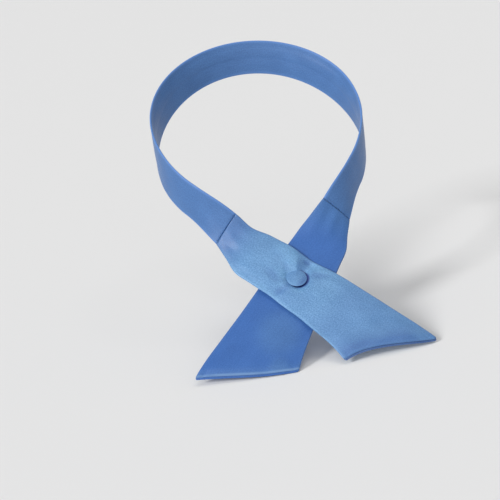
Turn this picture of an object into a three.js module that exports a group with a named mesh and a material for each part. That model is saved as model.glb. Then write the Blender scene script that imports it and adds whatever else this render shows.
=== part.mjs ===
// Crossover tie: two padded satin blades crossed at the throat under a covered button,
// a hidden press stud between them, and a neckband that runs round the neck as one loop.
// Units are millimetres. The origin is the centre of the neck opening. +Z runs up along
// the neck, -Y is the wearer's front and +X is the wearer's left.

import * as THREE from 'three';

// Driving dimensions of the loop
const neckToCrossing = 104;
const halfCrossAngle = THREE.MathUtils.degToRad(37.4);
const loopTilt = THREE.MathUtils.degToRad(40);
const neckRadius = neckToCrossing * Math.sin(halfCrossAngle);
const tangentRun = neckToCrossing * Math.cos(halfCrossAngle);
const halfLoopRun = tangentRun + neckRadius * (Math.PI / 2 + halfCrossAngle);

// Driving dimensions of the straps
const bandWidth = 21;
const bandThickness = 2.2;
const bladeThickness = 2.4;
const edgeRound = 1.7;
const pieceGap = 0.3;
const seamRun = 54;
const twistStart = 24;
const twistLength = 58;

// Driving dimensions of the fastening
const studRadius = 4;
const studThickness = 1;
const buttonRadius = 6.1;
const buttonBaseRadius = 4.6;
const buttonRimHeight = 1.2;
const buttonHeight = 3.5;
const buttonAlong = -2.4;
const buttonSides = 28;
const studSides = 24;

// Height of the front blade's middle surface over the rear blade's at the crossing
const crossHeight = bladeThickness + studThickness + 2 * pieceGap;

// Blade outlines. A row is one section from the long edge to the short edge: along runs
// from the crossing to the free end, side is the distance from the strap's axis.
const frontSections = [
  { longAlong: -54, longSide: 10.5, shortAlong: -54, shortSide: 10.5 },
  { longAlong: -43, longSide: 10.2, shortAlong: -43, shortSide: 12.8 },
  { longAlong: -32, longSide: 13.9, shortAlong: -32, shortSide: 16.6 },
  { longAlong: -21, longSide: 15.9, shortAlong: -21, shortSide: 17.3 },
  { longAlong: -8, longSide: 15.5, shortAlong: -8, shortSide: 16.4 },
  { longAlong: 2, longSide: 16.5, shortAlong: 1, shortSide: 16.2 },
  { longAlong: 14, longSide: 18.9, shortAlong: 12, shortSide: 16.1 },
  { longAlong: 31, longSide: 20.8, shortAlong: 23, shortSide: 16.5 },
  { longAlong: 50, longSide: 23.3, shortAlong: 34, shortSide: 17.5 },
  { longAlong: 66, longSide: 24.8, shortAlong: 42, shortSide: 18.5 },
  { longAlong: 76.2, longSide: 24.6, shortAlong: 47.4, shortSide: 18.8 },
];
const rearSections = [
  { longAlong: -54, longSide: 10.5, shortAlong: -54, shortSide: 10.5 },
  { longAlong: -43, longSide: 11.3, shortAlong: -43, shortSide: 12 },
  { longAlong: -33, longSide: 14.5, shortAlong: -33, shortSide: 15 },
  { longAlong: -22, longSide: 17, shortAlong: -22, shortSide: 15.5 },
  { longAlong: -8, longSide: 17.8, shortAlong: -8, shortSide: 15.9 },
  { longAlong: 8, longSide: 19.1, shortAlong: 7, shortSide: 16.6 },
  { longAlong: 28, longSide: 22, shortAlong: 21, shortSide: 17.5 },
  { longAlong: 47, longSide: 25.2, shortAlong: 32, shortSide: 18.3 },
  { longAlong: 63, longSide: 27.5, shortAlong: 40, shortSide: 19 },
  { longAlong: 73.6, longSide: 28.1, shortAlong: 46.6, shortSide: 19.6 },
];

// Dents and ridges of a blade's upper face. Spans are the half lengths at which the height
// has died away, turn is measured from the strap's axis in degrees.
const frontPuckers = [
  { along: buttonAlong, side: 0, spanAlong: 9, spanSide: 8.5, turn: 0, height: -1.3 },
  { along: -8, side: 11.5, spanAlong: 3.2, spanSide: 8, turn: 10, height: -0.9 },
  { along: -14, side: 9.5, spanAlong: 3.6, spanSide: 9, turn: 18, height: 0.9 },
  { along: 15, side: 7, spanAlong: 9, spanSide: 4, turn: 20, height: 0.5 },
  { along: -19, side: -5, spanAlong: 9, spanSide: 3, turn: -20, height: 0.4 },
];
const rearPuckers = [
  { along: 34, side: 6, spanAlong: 26, spanSide: 10, turn: -12, height: 0.3 },
];

// Shape of each blade. Droop and settle lower the free end onto the chest, crown arches
// the section, endLift raises the middle of the cut end and endBow hollows its line.
const frontBlade = {
  strapSide: -1,
  sections: frontSections,
  puckers: frontPuckers,
  crossHeight,
  settle: 3,
  crown: 1.2,
  endLift: 1.2,
  endBow: 1.6,
  endSkew: 2.4,
  stepsPerSection: 5,
  topStations: 14,
};
const rearBlade = {
  strapSide: 1,
  sections: rearSections,
  puckers: rearPuckers,
  crossHeight: 0,
  settle: 0,
  crown: 0.4,
  endLift: 0.3,
  endBow: -1.6,
  endSkew: -0.8,
  stepsPerSection: 3,
  topStations: 10,
};

// Spans, along a strap, over which its heights change
const droopLength = 100;
const droopDepth = 5;
const settleStart = 12;
const settleLength = 45;
const heightFadeStart = 20;
const heightFadeLength = 32;
const endFadeLength = 22;
const endRoundShare = 0.4;

// Mesh density: stations beside a folded edge in millimetres, steps back from a cut end as
// shares of the last row's step, and the neckband's own counts
const edgeStations = [0.3, 1];
const endSteps = [0.1, 0.03, 0];
const bandStations = 6;
const bandArcSteps = 40;
const bandStraightSteps = 5;

function smooth(value) {
  return THREE.MathUtils.smoothstep(value, 0, 1);
}

// The loop lies in a plane that is turned back about X. Inside that plane X is across the
// chest, Y points to the nape and Z stands off the chest.
const offChest = new THREE.Vector3(0, 0, 1);
const neckUp = new THREE.Vector3(0, Math.sin(loopTilt), Math.cos(loopTilt));
const crossing = new THREE.Vector3(0, -neckToCrossing, -bandWidth / 2);

// Frame of a strap at a run from the crossing: straight to where it touches the neck
// circle, then round it, while the flat strap turns up on edge to stand against the neck.
function strapFrame(strapSide, run) {
  const sin = Math.sin(halfCrossAngle);
  const cos = Math.cos(halfCrossAngle);
  const upward = new THREE.Vector3(strapSide * sin, cos, 0);
  const toNeck = new THREE.Vector3(-strapSide * cos, sin, 0);
  const straight = Math.min(run, tangentRun);
  const bend = Math.max(run - tangentRun, 0) / neckRadius;
  const inward = toNeck.clone().multiplyScalar(Math.cos(bend));
  inward.addScaledVector(upward, -Math.sin(bend));
  const centre = crossing.clone().addScaledVector(upward, straight + neckRadius * Math.sin(bend));
  centre.addScaledVector(toNeck, neckRadius * (1 - Math.cos(bend)));
  const standing = Math.atan2(neckUp.dot(offChest), neckUp.dot(inward));
  const twist = standing * smooth((run - twistStart) / twistLength);
  const across = inward.clone().multiplyScalar(Math.cos(twist));
  across.addScaledVector(offChest, Math.sin(twist));
  const normal = offChest.clone().multiplyScalar(Math.cos(twist));
  normal.addScaledVector(inward, -Math.sin(twist));
  const rise = Math.sin(Math.min(twist, Math.PI / 2));
  return { centre, across, normal, rise };
}

// Point of a strap from its run, its distance to the side of the axis, the half width that
// stands on the chest, and its height off the strap's middle surface.
function strapPoint(strapSide, run, side, halfWidth, height) {
  const frame = strapFrame(strapSide, run);
  const point = frame.centre.clone();
  point.addScaledVector(offChest, halfWidth * frame.rise);
  point.addScaledVector(frame.across, side);
  point.addScaledVector(frame.normal, height);
  return point;
}

// Share of the full thickness at a distance from a folded edge
function edgeShare(distance) {
  const reach = Math.min(distance / edgeRound, 1);
  return Math.sqrt(1 - (1 - reach) ** 2);
}

// Stations across a strap of a given width, closer together at its folded edges
function acrossStations(width, count) {
  const stations = edgeStations.slice();
  const inner = count - 2 * edgeStations.length;
  for (let step = 0; step < inner; step += 1) {
    stations.push(edgeRound + ((width - 2 * edgeRound) * step) / (inner - 1));
  }
  edgeStations.toReversed().forEach((distance) => stations.push(width - distance));
  return stations;
}

function puckerHeight(puckers, along, side) {
  let height = 0;
  for (const pucker of puckers) {
    const turn = THREE.MathUtils.degToRad(pucker.turn);
    const shiftAlong = along - pucker.along;
    const shiftSide = side - pucker.side;
    const u = (shiftAlong * Math.cos(turn) + shiftSide * Math.sin(turn)) / pucker.spanAlong;
    const v = (shiftSide * Math.cos(turn) - shiftAlong * Math.sin(turn)) / pucker.spanSide;
    height += pucker.height * Math.exp(-((u * u + v * v) ** 2));
  }
  return height;
}

// Height of a blade's middle surface off the plane of the straps
function bladeHeight(blade, along, share, toEnd) {
  const droop = -droopDepth * (Math.max(along, 0) / droopLength) ** 2;
  const settle = -blade.settle * smooth((along - settleStart) / settleLength);
  const fade = 1 - smooth((-along - heightFadeStart) / heightFadeLength);
  const crown = -blade.crown * share * share * fade;
  const lift = blade.endLift * (1 - share * share) * (1 - smooth(toEnd / endFadeLength));
  return droop + (blade.crossHeight + settle) * fade + crown + lift;
}

// Curve through one edge of a blade's table, in along and side
function edgeCurve(sections, alongName, sideName, sign) {
  const points = sections.map((row) => new THREE.Vector3(row[alongName], sign * row[sideName], 0));
  return new THREE.CatmullRomCurve3(points, false, 'centripetal');
}

// Closed solid through rings of equal length. A ring starts on one edge of a strap, runs
// over its upper face to the other edge and back under it, and flat caps close the ends.
function loft(rings) {
  const ringSize = rings[0].length;
  const positions = rings.flatMap((ring) => ring.flatMap((point) => point.toArray()));
  const indices = [];
  for (let row = 0; row < rings.length - 1; row += 1) {
    for (let column = 0; column < ringSize; column += 1) {
      const next = (column + 1) % ringSize;
      const a = row * ringSize + column;
      const b = row * ringSize + next;
      const c = (row + 1) * ringSize + next;
      const d = (row + 1) * ringSize + column;
      indices.push(a, c, b, a, d, c);
    }
  }
  const lastStart = (rings.length - 1) * ringSize;
  for (const [start, flip] of [[0, false], [lastStart, true]]) {
    const faces = capFaces(ringSize).map((corner) => corner + start);
    indices.push(...(flip ? faces.toReversed() : faces));
  }
  const geometry = new THREE.BufferGeometry();
  geometry.setAttribute('position', new THREE.Float32BufferAttribute(positions, 3));
  geometry.setIndex(indices);
  geometry.computeVertexNormals();
  return geometry;
}

// Triangles of a cap, zipped between the upper and the lower half of a ring
function capFaces(ringSize) {
  const faces = [];
  const half = ringSize / 2;
  for (let step = 0; step < half; step += 1) {
    const above = step;
    const nextAbove = step + 1;
    const below = (ringSize - step) % ringSize;
    const nextBelow = ringSize - step - 1;
    if (above !== below) {
      faces.push(above, nextAbove, below);
    }
    if (nextAbove !== nextBelow) {
      faces.push(below, nextAbove, nextBelow);
    }
  }
  return faces;
}

// Ring of a section from a function that gives a point at a station for one face
function sectionRing(width, count, pointAt) {
  const stations = acrossStations(width, count);
  const above = stations.map((station) => pointAt(station, 1));
  const below = stations.toReversed().map((station) => pointAt(station, -1));
  return [pointAt(0, 0), ...above, pointAt(width, 0), ...below];
}

function bladeRing(blade, longEdge, shortEdge, position) {
  const last = blade.sections.length - 1;
  const long = longEdge.getPoint(position / last);
  const short = shortEdge.getPoint(position / last);
  const width = long.distanceTo(short);
  const longTip = longEdge.getPoint(1);
  const shortTip = shortEdge.getPoint(1);
  return sectionRing(width, blade.topStations, (station, face) => {
    const across = station / width;
    const share = 1 - 2 * across;
    const flat = long.clone().lerp(short, across);
    const tip = longTip.clone().lerp(shortTip, across);
    const toEnd = tip.x - flat.x;
    const bow = (1 - share * share) * (blade.endBow - blade.endSkew * share);
    const along = flat.x - bow * (1 - smooth(toEnd / endFadeLength));
    const fold = edgeShare(Math.min(station, width - station));
    const endShare = endRoundShare + (1 - endRoundShare) * edgeShare(toEnd);
    const pad = (bladeThickness / 2) * fold * endShare;
    const pucker = puckerHeight(blade.puckers, along, flat.y);
    const shaped = (face > 0 ? pucker : Math.max(pucker, 0)) * fold;
    const height = bladeHeight(blade, along, share, toEnd) + face * pad + shaped;
    return strapPoint(blade.strapSide, -along, flat.y, -short.y, height);
  });
}

// Sections of a blade: even steps between the rows, then closer ones to round the cut end
function bladeGeometry(blade) {
  const longEdge = edgeCurve(blade.sections, 'longAlong', 'longSide', 1);
  const shortEdge = edgeCurve(blade.sections, 'shortAlong', 'shortSide', -1);
  const last = blade.sections.length - 1;
  const positions = [];
  for (let step = 0; step < last * blade.stepsPerSection; step += 1) {
    positions.push(step / blade.stepsPerSection);
  }
  endSteps.forEach((step) => positions.push(last - step));
  const rings = positions.map((position) => bladeRing(blade, longEdge, shortEdge, position));
  return loft(blade.strapSide < 0 ? rings.toReversed() : rings);
}

// Neckband from the seam behind the front blade, round the nape, to the other seam
function neckbandGeometry() {
  const runs = [];
  const start = seamRun + pieceGap;
  for (let step = 0; step < bandStraightSteps; step += 1) {
    runs.push(start + ((tangentRun - start) * step) / bandStraightSteps);
  }
  for (let step = 0; step <= bandArcSteps / 2; step += 1) {
    runs.push(tangentRun + ((halfLoopRun - tangentRun) * step) / (bandArcSteps / 2));
  }
  const places = runs.map((run) => ({ strapSide: -1, run }));
  runs.slice(0, -1).toReversed().forEach((run) => places.push({ strapSide: 1, run }));
  return loft(places.map(({ strapSide, run }) => bandRing(strapSide, run)));
}

function bandRing(strapSide, run) {
  return sectionRing(bandWidth, bandStations, (station, face) => {
    const pad = (bandThickness / 2) * edgeShare(Math.min(station, bandWidth - station));
    return strapPoint(strapSide, run, bandWidth / 2 - station, bandWidth / 2, face * pad);
  });
}

// Low dome with a rim that turns under to a flat base
function buttonGeometry() {
  const profile = [new THREE.Vector2(0, 0), new THREE.Vector2(buttonBaseRadius, 0)];
  const rimSteps = 4;
  for (let step = 1; step <= rimSteps; step += 1) {
    const angle = (step / rimSteps) * (Math.PI / 2);
    const radius = buttonBaseRadius + (buttonRadius - buttonBaseRadius) * Math.sin(angle);
    profile.push(new THREE.Vector2(radius, buttonRimHeight * (1 - Math.cos(angle))));
  }
  const domeSteps = 7;
  for (let step = 1; step <= domeSteps; step += 1) {
    const angle = (step / domeSteps) * (Math.PI / 2);
    const height = buttonRimHeight + (buttonHeight - buttonRimHeight) * Math.sin(angle);
    profile.push(new THREE.Vector2(step < domeSteps ? buttonRadius * Math.cos(angle) : 0, height));
  }
  return new THREE.LatheGeometry(profile, buttonSides);
}

// Materials, with colours as the cloth shows them in soft light
const frontSatin = new THREE.MeshStandardMaterial({ color: 0x75a5d9, roughness: 0.42, metalness: 0 });
const rearSatin = new THREE.MeshStandardMaterial({ color: 0x4a78bd, roughness: 0.45, metalness: 0 });
const bandSatin = new THREE.MeshStandardMaterial({ color: 0x5585c6, roughness: 0.48, metalness: 0 });
const buttonSatin = new THREE.MeshStandardMaterial({ color: 0x75a5d9, roughness: 0.4, metalness: 0 });
const studMetal = new THREE.MeshStandardMaterial({ color: 0xb9bcc0, roughness: 0.35, metalness: 0.9 });

function namedMesh(name, geometry, material) {
  const mesh = new THREE.Mesh(geometry, material);
  mesh.name = name;
  return mesh;
}

// Assembly in the plane of the loop, then turned to the wearer's frame
const crossoverTie = new THREE.Group();
crossoverTie.rotation.x = loopTilt;
crossoverTie.add(namedMesh('front_blade', bladeGeometry(frontBlade), frontSatin));
crossoverTie.add(namedMesh('rear_blade', bladeGeometry(rearBlade), rearSatin));
crossoverTie.add(namedMesh('neckband', neckbandGeometry(), bandSatin));

const stud = namedMesh(
  'press_stud',
  new THREE.CylinderGeometry(studRadius, studRadius, studThickness, studSides),
  studMetal,
);
stud.rotation.x = Math.PI / 2;
stud.position.copy(crossing);
stud.position.z += bladeThickness / 2 + pieceGap + studThickness / 2;
crossoverTie.add(stud);

const dimpleFloor = crossHeight + bladeThickness / 2 + frontPuckers[0].height;
const button = namedMesh('covered_button', buttonGeometry(), buttonSatin);
button.rotation.x = Math.PI / 2;
button.position.copy(strapPoint(frontBlade.strapSide, -buttonAlong, 0, 0, dimpleFloor + pieceGap));
crossoverTie.add(button);

export default crossoverTie;
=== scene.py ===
"""Crossover tie in blue satin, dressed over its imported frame.

The tie is one strap that runs round the neck and crosses itself at the throat. Its padded
blades, its neckband and its covered button are surfaces worked out on grids; the press
stud between the blades keeps its solid and gets a metal finish. Lengths are in metres, in
the frame's own axes: +Z up along the neck, -Y the wearer's front, +X the wearer's left.
"""

import logging
import math
from dataclasses import dataclass
from enum import Enum
from functools import partial
from typing import Callable, NamedTuple

import bpy
import numpy as np
from mathutils import Matrix


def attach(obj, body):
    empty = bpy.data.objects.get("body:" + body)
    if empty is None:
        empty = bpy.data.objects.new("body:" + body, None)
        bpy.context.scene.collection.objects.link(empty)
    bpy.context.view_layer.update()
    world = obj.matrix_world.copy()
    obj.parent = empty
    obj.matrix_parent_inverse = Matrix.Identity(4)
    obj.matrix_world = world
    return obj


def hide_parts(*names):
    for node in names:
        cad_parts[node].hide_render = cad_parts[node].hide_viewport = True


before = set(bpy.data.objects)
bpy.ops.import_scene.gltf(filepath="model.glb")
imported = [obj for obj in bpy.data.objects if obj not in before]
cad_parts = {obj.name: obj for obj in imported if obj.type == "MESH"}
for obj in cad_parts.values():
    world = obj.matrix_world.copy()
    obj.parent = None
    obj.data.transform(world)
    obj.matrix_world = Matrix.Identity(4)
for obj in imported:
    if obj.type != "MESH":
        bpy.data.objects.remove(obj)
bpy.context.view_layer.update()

MM = 0.001
# Metres of cloth to one step of the UV map.
UV_SPAN = 0.1
# Half the angle between the two straps at the crossing.
HALF_CROSS_ANGLE = math.radians(37.4)
OFF_CHEST = np.array([0.0, 0.0, 1.0])

Array = np.ndarray
# Two numbers, mostly a start and a length.
Pair = tuple[float, float]
Colour = tuple[float, float, float, float]
Inputs = dict[str | int, object]
Groups = dict[str, bpy.types.NodeTree]
log = logging.getLogger("crossover_tie")


def smooth(value: Array) -> Array:
    """Ease from 0 to 1: three squares less two cubes of the value held between 0 and 1."""
    held = np.clip(value, 0.0, 1.0)
    return held * held * (3.0 - 2.0 * held)


def ramp(value: Array, start: float, length: float) -> Array:
    """Ease from 0 at a start to 1 at a length beyond it."""
    return smooth((value - start) / length)


def brisk(value: Array) -> Array:
    """Rise from 0 to 1 with crisp ends: half a straight ramp and half an ease."""
    return 0.5 * np.clip(value, 0.0, 1.0) + 0.5 * smooth(value)


def quarter_round(value: Array) -> Array:
    """Rise from 0 to 1 as a quarter circle, steep at first and level at the end."""
    return np.sqrt(1.0 - (1.0 - np.clip(value, 0.0, 1.0)) ** 2)


def way_along(first: Array, second: Array, turn: float) -> Array:
    """Place along a direction that is turned from the first axis towards the second."""
    return first * math.cos(turn) + second * math.sin(turn)


def through(points: Array, position: Array) -> Array:
    """Run a centripetal Catmull-Rom curve through the rows of a table.

    Each stretch between two rows is a cubic that starts and ends at them. Its slopes come
    from the rows on either side, with knots spaced by the root of the rows' distance.

    Args:
        points: Rows of the table, one point each.
        position: Places along the table, counted in rows.

    Returns:
        One point for each position.
    """
    before = 2.0 * points[0] - points[1]
    after = 2.0 * points[-1] - points[-2]
    rows = np.vstack([before, points, after])
    index = np.clip(position.astype(int), 0, len(points) - 2)
    local = (position - index)[:, None]
    p0, p1, p2, p3 = (rows[index + step] for step in range(4))
    d0, d1, d2 = (
        np.sqrt(np.linalg.norm(b - a, axis=1, keepdims=True)) for a, b in ((p0, p1), (p1, p2), (p2, p3))
    )
    slope1 = ((p1 - p0) / d0 - (p2 - p0) / (d0 + d1) + (p2 - p1) / d1) * d1
    slope2 = ((p2 - p1) / d1 - (p3 - p1) / (d1 + d2) + (p3 - p2) / d2) * d1
    cube, square = local**3, local**2
    start = p1 * (2.0 * cube - 3.0 * square + 1.0) + slope1 * (cube - 2.0 * square + local)
    return start + p2 * (3.0 * square - 2.0 * cube) + slope2 * (cube - square)


class Strap(Enum):
    """Which shoulder a strap comes down from, as the sign of its side of the neck."""

    WEARER_RIGHT = -1
    WEARER_LEFT = 1


class Face(Enum):
    """Faces of a strap, as the sign of their height off its middle."""

    UPPER = 1.0
    EDGE = 0.0
    LOWER = -1.0


class StrapFrame(NamedTuple):
    """Directions of a strap at each run, in the loop's own plane."""

    centre: Array
    across: Array
    normal: Array
    rise: Array


@dataclass(frozen=True)
class NeckLoop:
    """Path of the strap round the neck, and how it turns up on edge as it goes."""

    neck_to_crossing: float = 0.104
    half_cross_angle: float = HALF_CROSS_ANGLE
    tilt: float = math.radians(40.0)
    band_width: float = 0.021
    seam_run: float = 0.054
    twist_start: float = 0.024
    twist_length: float = 0.058

    @property
    def radius(self) -> float:
        """Radius of the round part of the loop."""
        return self.neck_to_crossing * math.sin(self.half_cross_angle)

    @property
    def tangent_run(self) -> float:
        """Run from the crossing to where the strap meets the round part."""
        return self.neck_to_crossing * math.cos(self.half_cross_angle)

    @property
    def half_run(self) -> float:
        """Run from the crossing to the nape."""
        return self.tangent_run + self.radius * (math.pi / 2.0 + self.half_cross_angle)

    @property
    def crossing(self) -> Array:
        """Centre of the crossing in the loop's own plane."""
        return np.array([0.0, -self.neck_to_crossing, -self.band_width / 2.0])

    def to_wearer(self, points: Array) -> Array:
        """Turn points about X into the wearer's axes.

        Args:
            points: Points in the loop's own plane, with a last axis of three.

        Returns:
            The turned points.
        """
        sin, cos = math.sin(self.tilt), math.cos(self.tilt)
        x, y, z = points[..., 0], points[..., 1], points[..., 2]
        return np.stack([x, y * cos - z * sin, y * sin + z * cos], axis=-1)

    def frame_at(self, strap: Strap, run: Array) -> StrapFrame:
        """Work out a strap's directions at runs from the crossing.

        The path is a straight line to the round part and a circle from there. The strap
        lies flat at the crossing and turns about its path until its width stands as near
        to upright as the path lets it.

        Args:
            strap: The shoulder that the strap comes down from.
            run: Distances from the crossing towards the nape.

        Returns:
            Centre, across and normal directions, and the share of its half width by which
            the strap's middle stands off the chest.
        """
        sin, cos = math.sin(self.half_cross_angle), math.cos(self.half_cross_angle)
        upward = np.array([strap.value * sin, cos, 0.0])
        to_neck = np.array([-strap.value * cos, sin, 0.0])
        straight = np.minimum(run, self.tangent_run)[..., None]
        bend = (np.maximum(run - self.tangent_run, 0.0) / self.radius)[..., None]
        inward = to_neck * np.cos(bend) - upward * np.sin(bend)
        centre = self.crossing + upward * (straight + self.radius * np.sin(bend))
        centre = centre + to_neck * self.radius * (1.0 - np.cos(bend))
        standing = np.arctan2(math.cos(self.tilt), math.sin(self.tilt) * inward[..., 1])
        twist = (standing * ramp(run, self.twist_start, self.twist_length))[..., None]
        across = inward * np.cos(twist) + OFF_CHEST * np.sin(twist)
        normal = OFF_CHEST * np.cos(twist) - inward * np.sin(twist)
        rise = np.sin(np.minimum(twist[..., 0], math.pi / 2.0))
        return StrapFrame(centre, across, normal, rise)

    def points(self, strap: Strap, run: Array, side: Array, half_width: Array, height: Array) -> Array:
        """Place points of a strap in the wearer's axes.

        Args:
            strap: The shoulder that the strap comes down from.
            run: Distances from the crossing towards the nape.
            side: Distances from the strap's axis, towards the neck.
            half_width: Half width that stands on the chest where the strap turns up.
            height: Distances off the strap's middle surface, away from the wearer.

        Returns:
            Points with a last axis of three.
        """
        at = self.frame_at(strap, run)
        lifted = (half_width * at.rise)[..., None] * OFF_CHEST
        flat = at.centre + lifted + at.across * side[..., None] + at.normal * height[..., None]
        return self.to_wearer(flat)


class ClothGrid(NamedTuple):
    """A closed cloth tube as rings of points, with what its finish reads."""

    rings: Array
    along: Array
    around: Array
    # fold carries rubbing and painted highlight, seam painted shade and shadow, and turned painted sheen and
    # shade.
    fold: Array
    seam: Array
    turned: Array


class MeshArrays(NamedTuple):
    """Faces of a piece, with the flat cloth place of each corner."""

    quads: Array
    quad_uv: Array
    triangles: Array
    triangle_uv: Array


def outward(points: Array, quads: Array, triangles: Array) -> bool:
    """Tell whether a closed mesh's faces point out: its signed volume is then positive.

    Args:
        points: Points of the mesh, one row each.
        quads: Point numbers of its quads.
        triangles: Point numbers of its triangles.

    Returns:
        Whether they point out.
    """
    split = np.concatenate([quads[:, [0, 1, 2]], quads[:, [0, 2, 3]], triangles])
    a, b, c = (points[split[:, corner]] for corner in range(3))
    return float(np.einsum("ij,ij->i", a, np.cross(b, c)).sum()) > 0.0


def new_piece(name: str, points: Array, faces: MeshArrays, marks: dict[str, Array]) -> bpy.types.Object:
    """Put arrays into a smooth mesh object at the origin.

    Args:
        name: Name of the piece.
        points: Its points, one row each.
        faces: Its quads and triangles with their cloth places.
        marks: Values for each point, by attribute name.

    Returns:
        The new object, linked to the scene.
    """
    quads, quad_uv, triangles, triangle_uv = faces
    if not outward(points, quads, triangles):
        quads, triangles = quads[:, ::-1], triangles[:, ::-1]
        quad_uv, triangle_uv = quad_uv[:, ::-1], triangle_uv[:, ::-1]
    corners = np.concatenate([quads.ravel(), triangles.ravel()])
    quad_starts = np.arange(len(quads)) * 4
    triangle_starts = len(quads) * 4 + np.arange(len(triangles)) * 3
    mesh = bpy.data.meshes.new(name)
    mesh.vertices.add(len(points))
    mesh.vertices.foreach_set("co", points.astype(np.float32).ravel())
    mesh.loops.add(len(corners))
    mesh.loops.foreach_set("vertex_index", corners.astype(np.int32))
    mesh.polygons.add(len(quads) + len(triangles))
    mesh.polygons.foreach_set("loop_start", np.concatenate([quad_starts, triangle_starts]).astype(np.int32))
    cloth = mesh.uv_layers.new(name="cloth")
    places = np.concatenate([quad_uv.reshape(-1, 2), triangle_uv.reshape(-1, 2)]) / UV_SPAN
    cloth.data.foreach_set("uv", places.astype(np.float32).ravel())
    for mark, values in marks.items():
        layer = mesh.attributes.new(mark, "FLOAT", "POINT")
        layer.data.foreach_set("value", values.astype(np.float32).ravel())
    mesh.update(calc_edges=True)
    mesh.validate()
    mesh.shade_smooth()
    piece = bpy.data.objects.new(name, mesh)
    bpy.context.scene.collection.objects.link(piece)
    return piece


def dress(piece: bpy.types.Object, material: bpy.types.Material) -> None:
    """Give a piece one material.

    Args:
        piece: The piece.
        material: Its material.
    """
    piece.data.materials.clear()
    piece.data.materials.append(material)
    log.info("dressed %s in %s", piece.name, material.name)


def ring_quads(count: int, size: int) -> Array:
    """Make the quads between closed rings, where a point's number is its ring's number times
    the ring size plus its place in the ring.

    Args:
        count: Number of rings.
        size: Number of points in a ring.

    Returns:
        Point numbers, one row for each quad.
    """
    row, column = np.meshgrid(np.arange(count - 1), np.arange(size), indexing="ij")
    first, second, step = row * size, (row + 1) * size, (column + 1) % size
    corners = [first + column, first + step, second + step, second + column]
    return np.stack(corners, axis=-1).reshape(-1, 4)


def tube_faces(grid: ClothGrid) -> MeshArrays:
    """Join rings into a closed tube, with each end zipped shut between its two halves.

    Args:
        grid: The rings, each starting on one folded edge.

    Returns:
        Quads and triangles with their cloth places.
    """
    count, size = grid.rings.shape[:2]
    half, last = size // 2, (count - 1) * size
    once_round = grid.around[:, :1] + 2.0 * grid.around[:, half, None]
    around = np.concatenate([grid.around, once_round], axis=1)
    along = np.concatenate([grid.along, grid.along[:, :1]], axis=1)
    uv = np.stack([along, around], axis=-1)
    side_uv = np.stack([uv[:-1, :-1], uv[:-1, 1:], uv[1:, 1:], uv[1:, :-1]], axis=2)
    flat_uv = uv[:, :-1].reshape(-1, 2)
    upper = np.arange(1, half - 1)
    cap = np.stack([upper, upper + 1, size - upper - 1, size - upper], axis=-1)
    tip = np.array([[0, 1, size - 1], [half - 1, half, half + 1]])
    caps = np.concatenate([cap, cap[:, ::-1] + last])
    tips = np.concatenate([tip, tip[:, ::-1] + last])
    quads = np.concatenate([ring_quads(count, size)[:, ::-1], caps])
    quad_uv = np.concatenate([side_uv.reshape(-1, 4, 2)[:, ::-1], flat_uv[caps]])
    return MeshArrays(quads, quad_uv, tips, flat_uv[tips])


def strap_piece(
    name: str, face_at: Callable[[Array, Face], ClothGrid], width: Array, stations: Array
) -> bpy.types.Object:
    """Make a closed strap whose rings run from one folded edge over the upper face to the
    other edge, and back over the lower face.

    Args:
        name: Name of the piece.
        face_at: Works out a face in millimetres at its distances from the first edge.
        width: Width of each section.
        stations: Distances from the first edge across each section.

    Returns:
        The new object.
    """
    zero, full, back = np.zeros((len(width), 1)), width[:, None], stations[:, ::-1]
    order = ((zero, Face.EDGE), (stations, Face.UPPER), (full, Face.EDGE), (back, Face.LOWER))
    faces = (face_at(station, face) for station, face in order)
    joined = ClothGrid(*(np.concatenate(parts, axis=1) for parts in zip(*faces)))
    around = np.concatenate([zero, stations, full, 2.0 * full - back], axis=1)
    grid = joined._replace(along=joined.along * MM, around=around * MM)
    # The marks carry rubbing and painted highlight, painted shade and shadow, and painted sheen and shade.
    marks = {"fold": grid.fold, "seam": grid.seam, "turned": np.clip(grid.turned, 0.0, 1.0)}
    return new_piece(name, grid.rings.reshape(-1, 3), tube_faces(grid), marks)


class Bell(NamedTuple):
    """A value that is greatest on a line and falls off on both sides of it."""

    height: float
    reach: float

    def at(self, distance: Array) -> Array:
        """The height times e to the minus square of the distance, counted in reaches."""
        return self.height * np.exp(-((distance / self.reach) ** 2))


class SectionRow(NamedTuple):
    """One section of a blade: along from the crossing to the free end, side off the axis."""

    long_along: float
    long_side: float
    short_along: float
    short_side: float


class Pucker(NamedTuple):
    """One dent or ridge of a face: place, half lengths, turn in degrees, height, and the painted sheen and
    shade that it adds."""

    along: float
    side: float
    span_along: float
    span_side: float
    turn: float
    height: float
    turned: float = 0.0

    def share(self, along: Array, side: Array) -> Array:
        """Work out the dent's share: e to the minus fourth power of the distance from its
        middle, counted in half lengths.

        Args:
            along: Places from the crossing to the free end.
            side: Distances off the strap's axis.

        Returns:
            Shares from 0 to 1.
        """
        turn = math.radians(self.turn)
        shift_along, shift_side = along - self.along, side - self.side
        u = way_along(shift_along, shift_side, turn) / self.span_along
        v = way_along(shift_side, -shift_along, turn) / self.span_side
        return np.exp(-((u * u + v * v) ** 2))


class Wave(NamedTuple):
    """One long soft wave of the cloth: length, direction and phase in degrees, height."""

    length: float
    heading: float
    phase: float
    height: float


def wave_height(waves: tuple[Wave, ...], along: Array, side: Array) -> Array:
    """Add up long waves: each is a sine of the way along its heading.

    Args:
        waves: The waves.
        along: Places along the strap in millimetres.
        side: Distances off its axis in millimetres.

    Returns:
        Heights in millimetres.
    """
    total = np.zeros_like(along)
    for wave in waves:
        way = way_along(along, side, math.radians(wave.heading))
        total += wave.height * np.sin(2.0 * math.pi * way / wave.length + math.radians(wave.phase))
    return total


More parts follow.
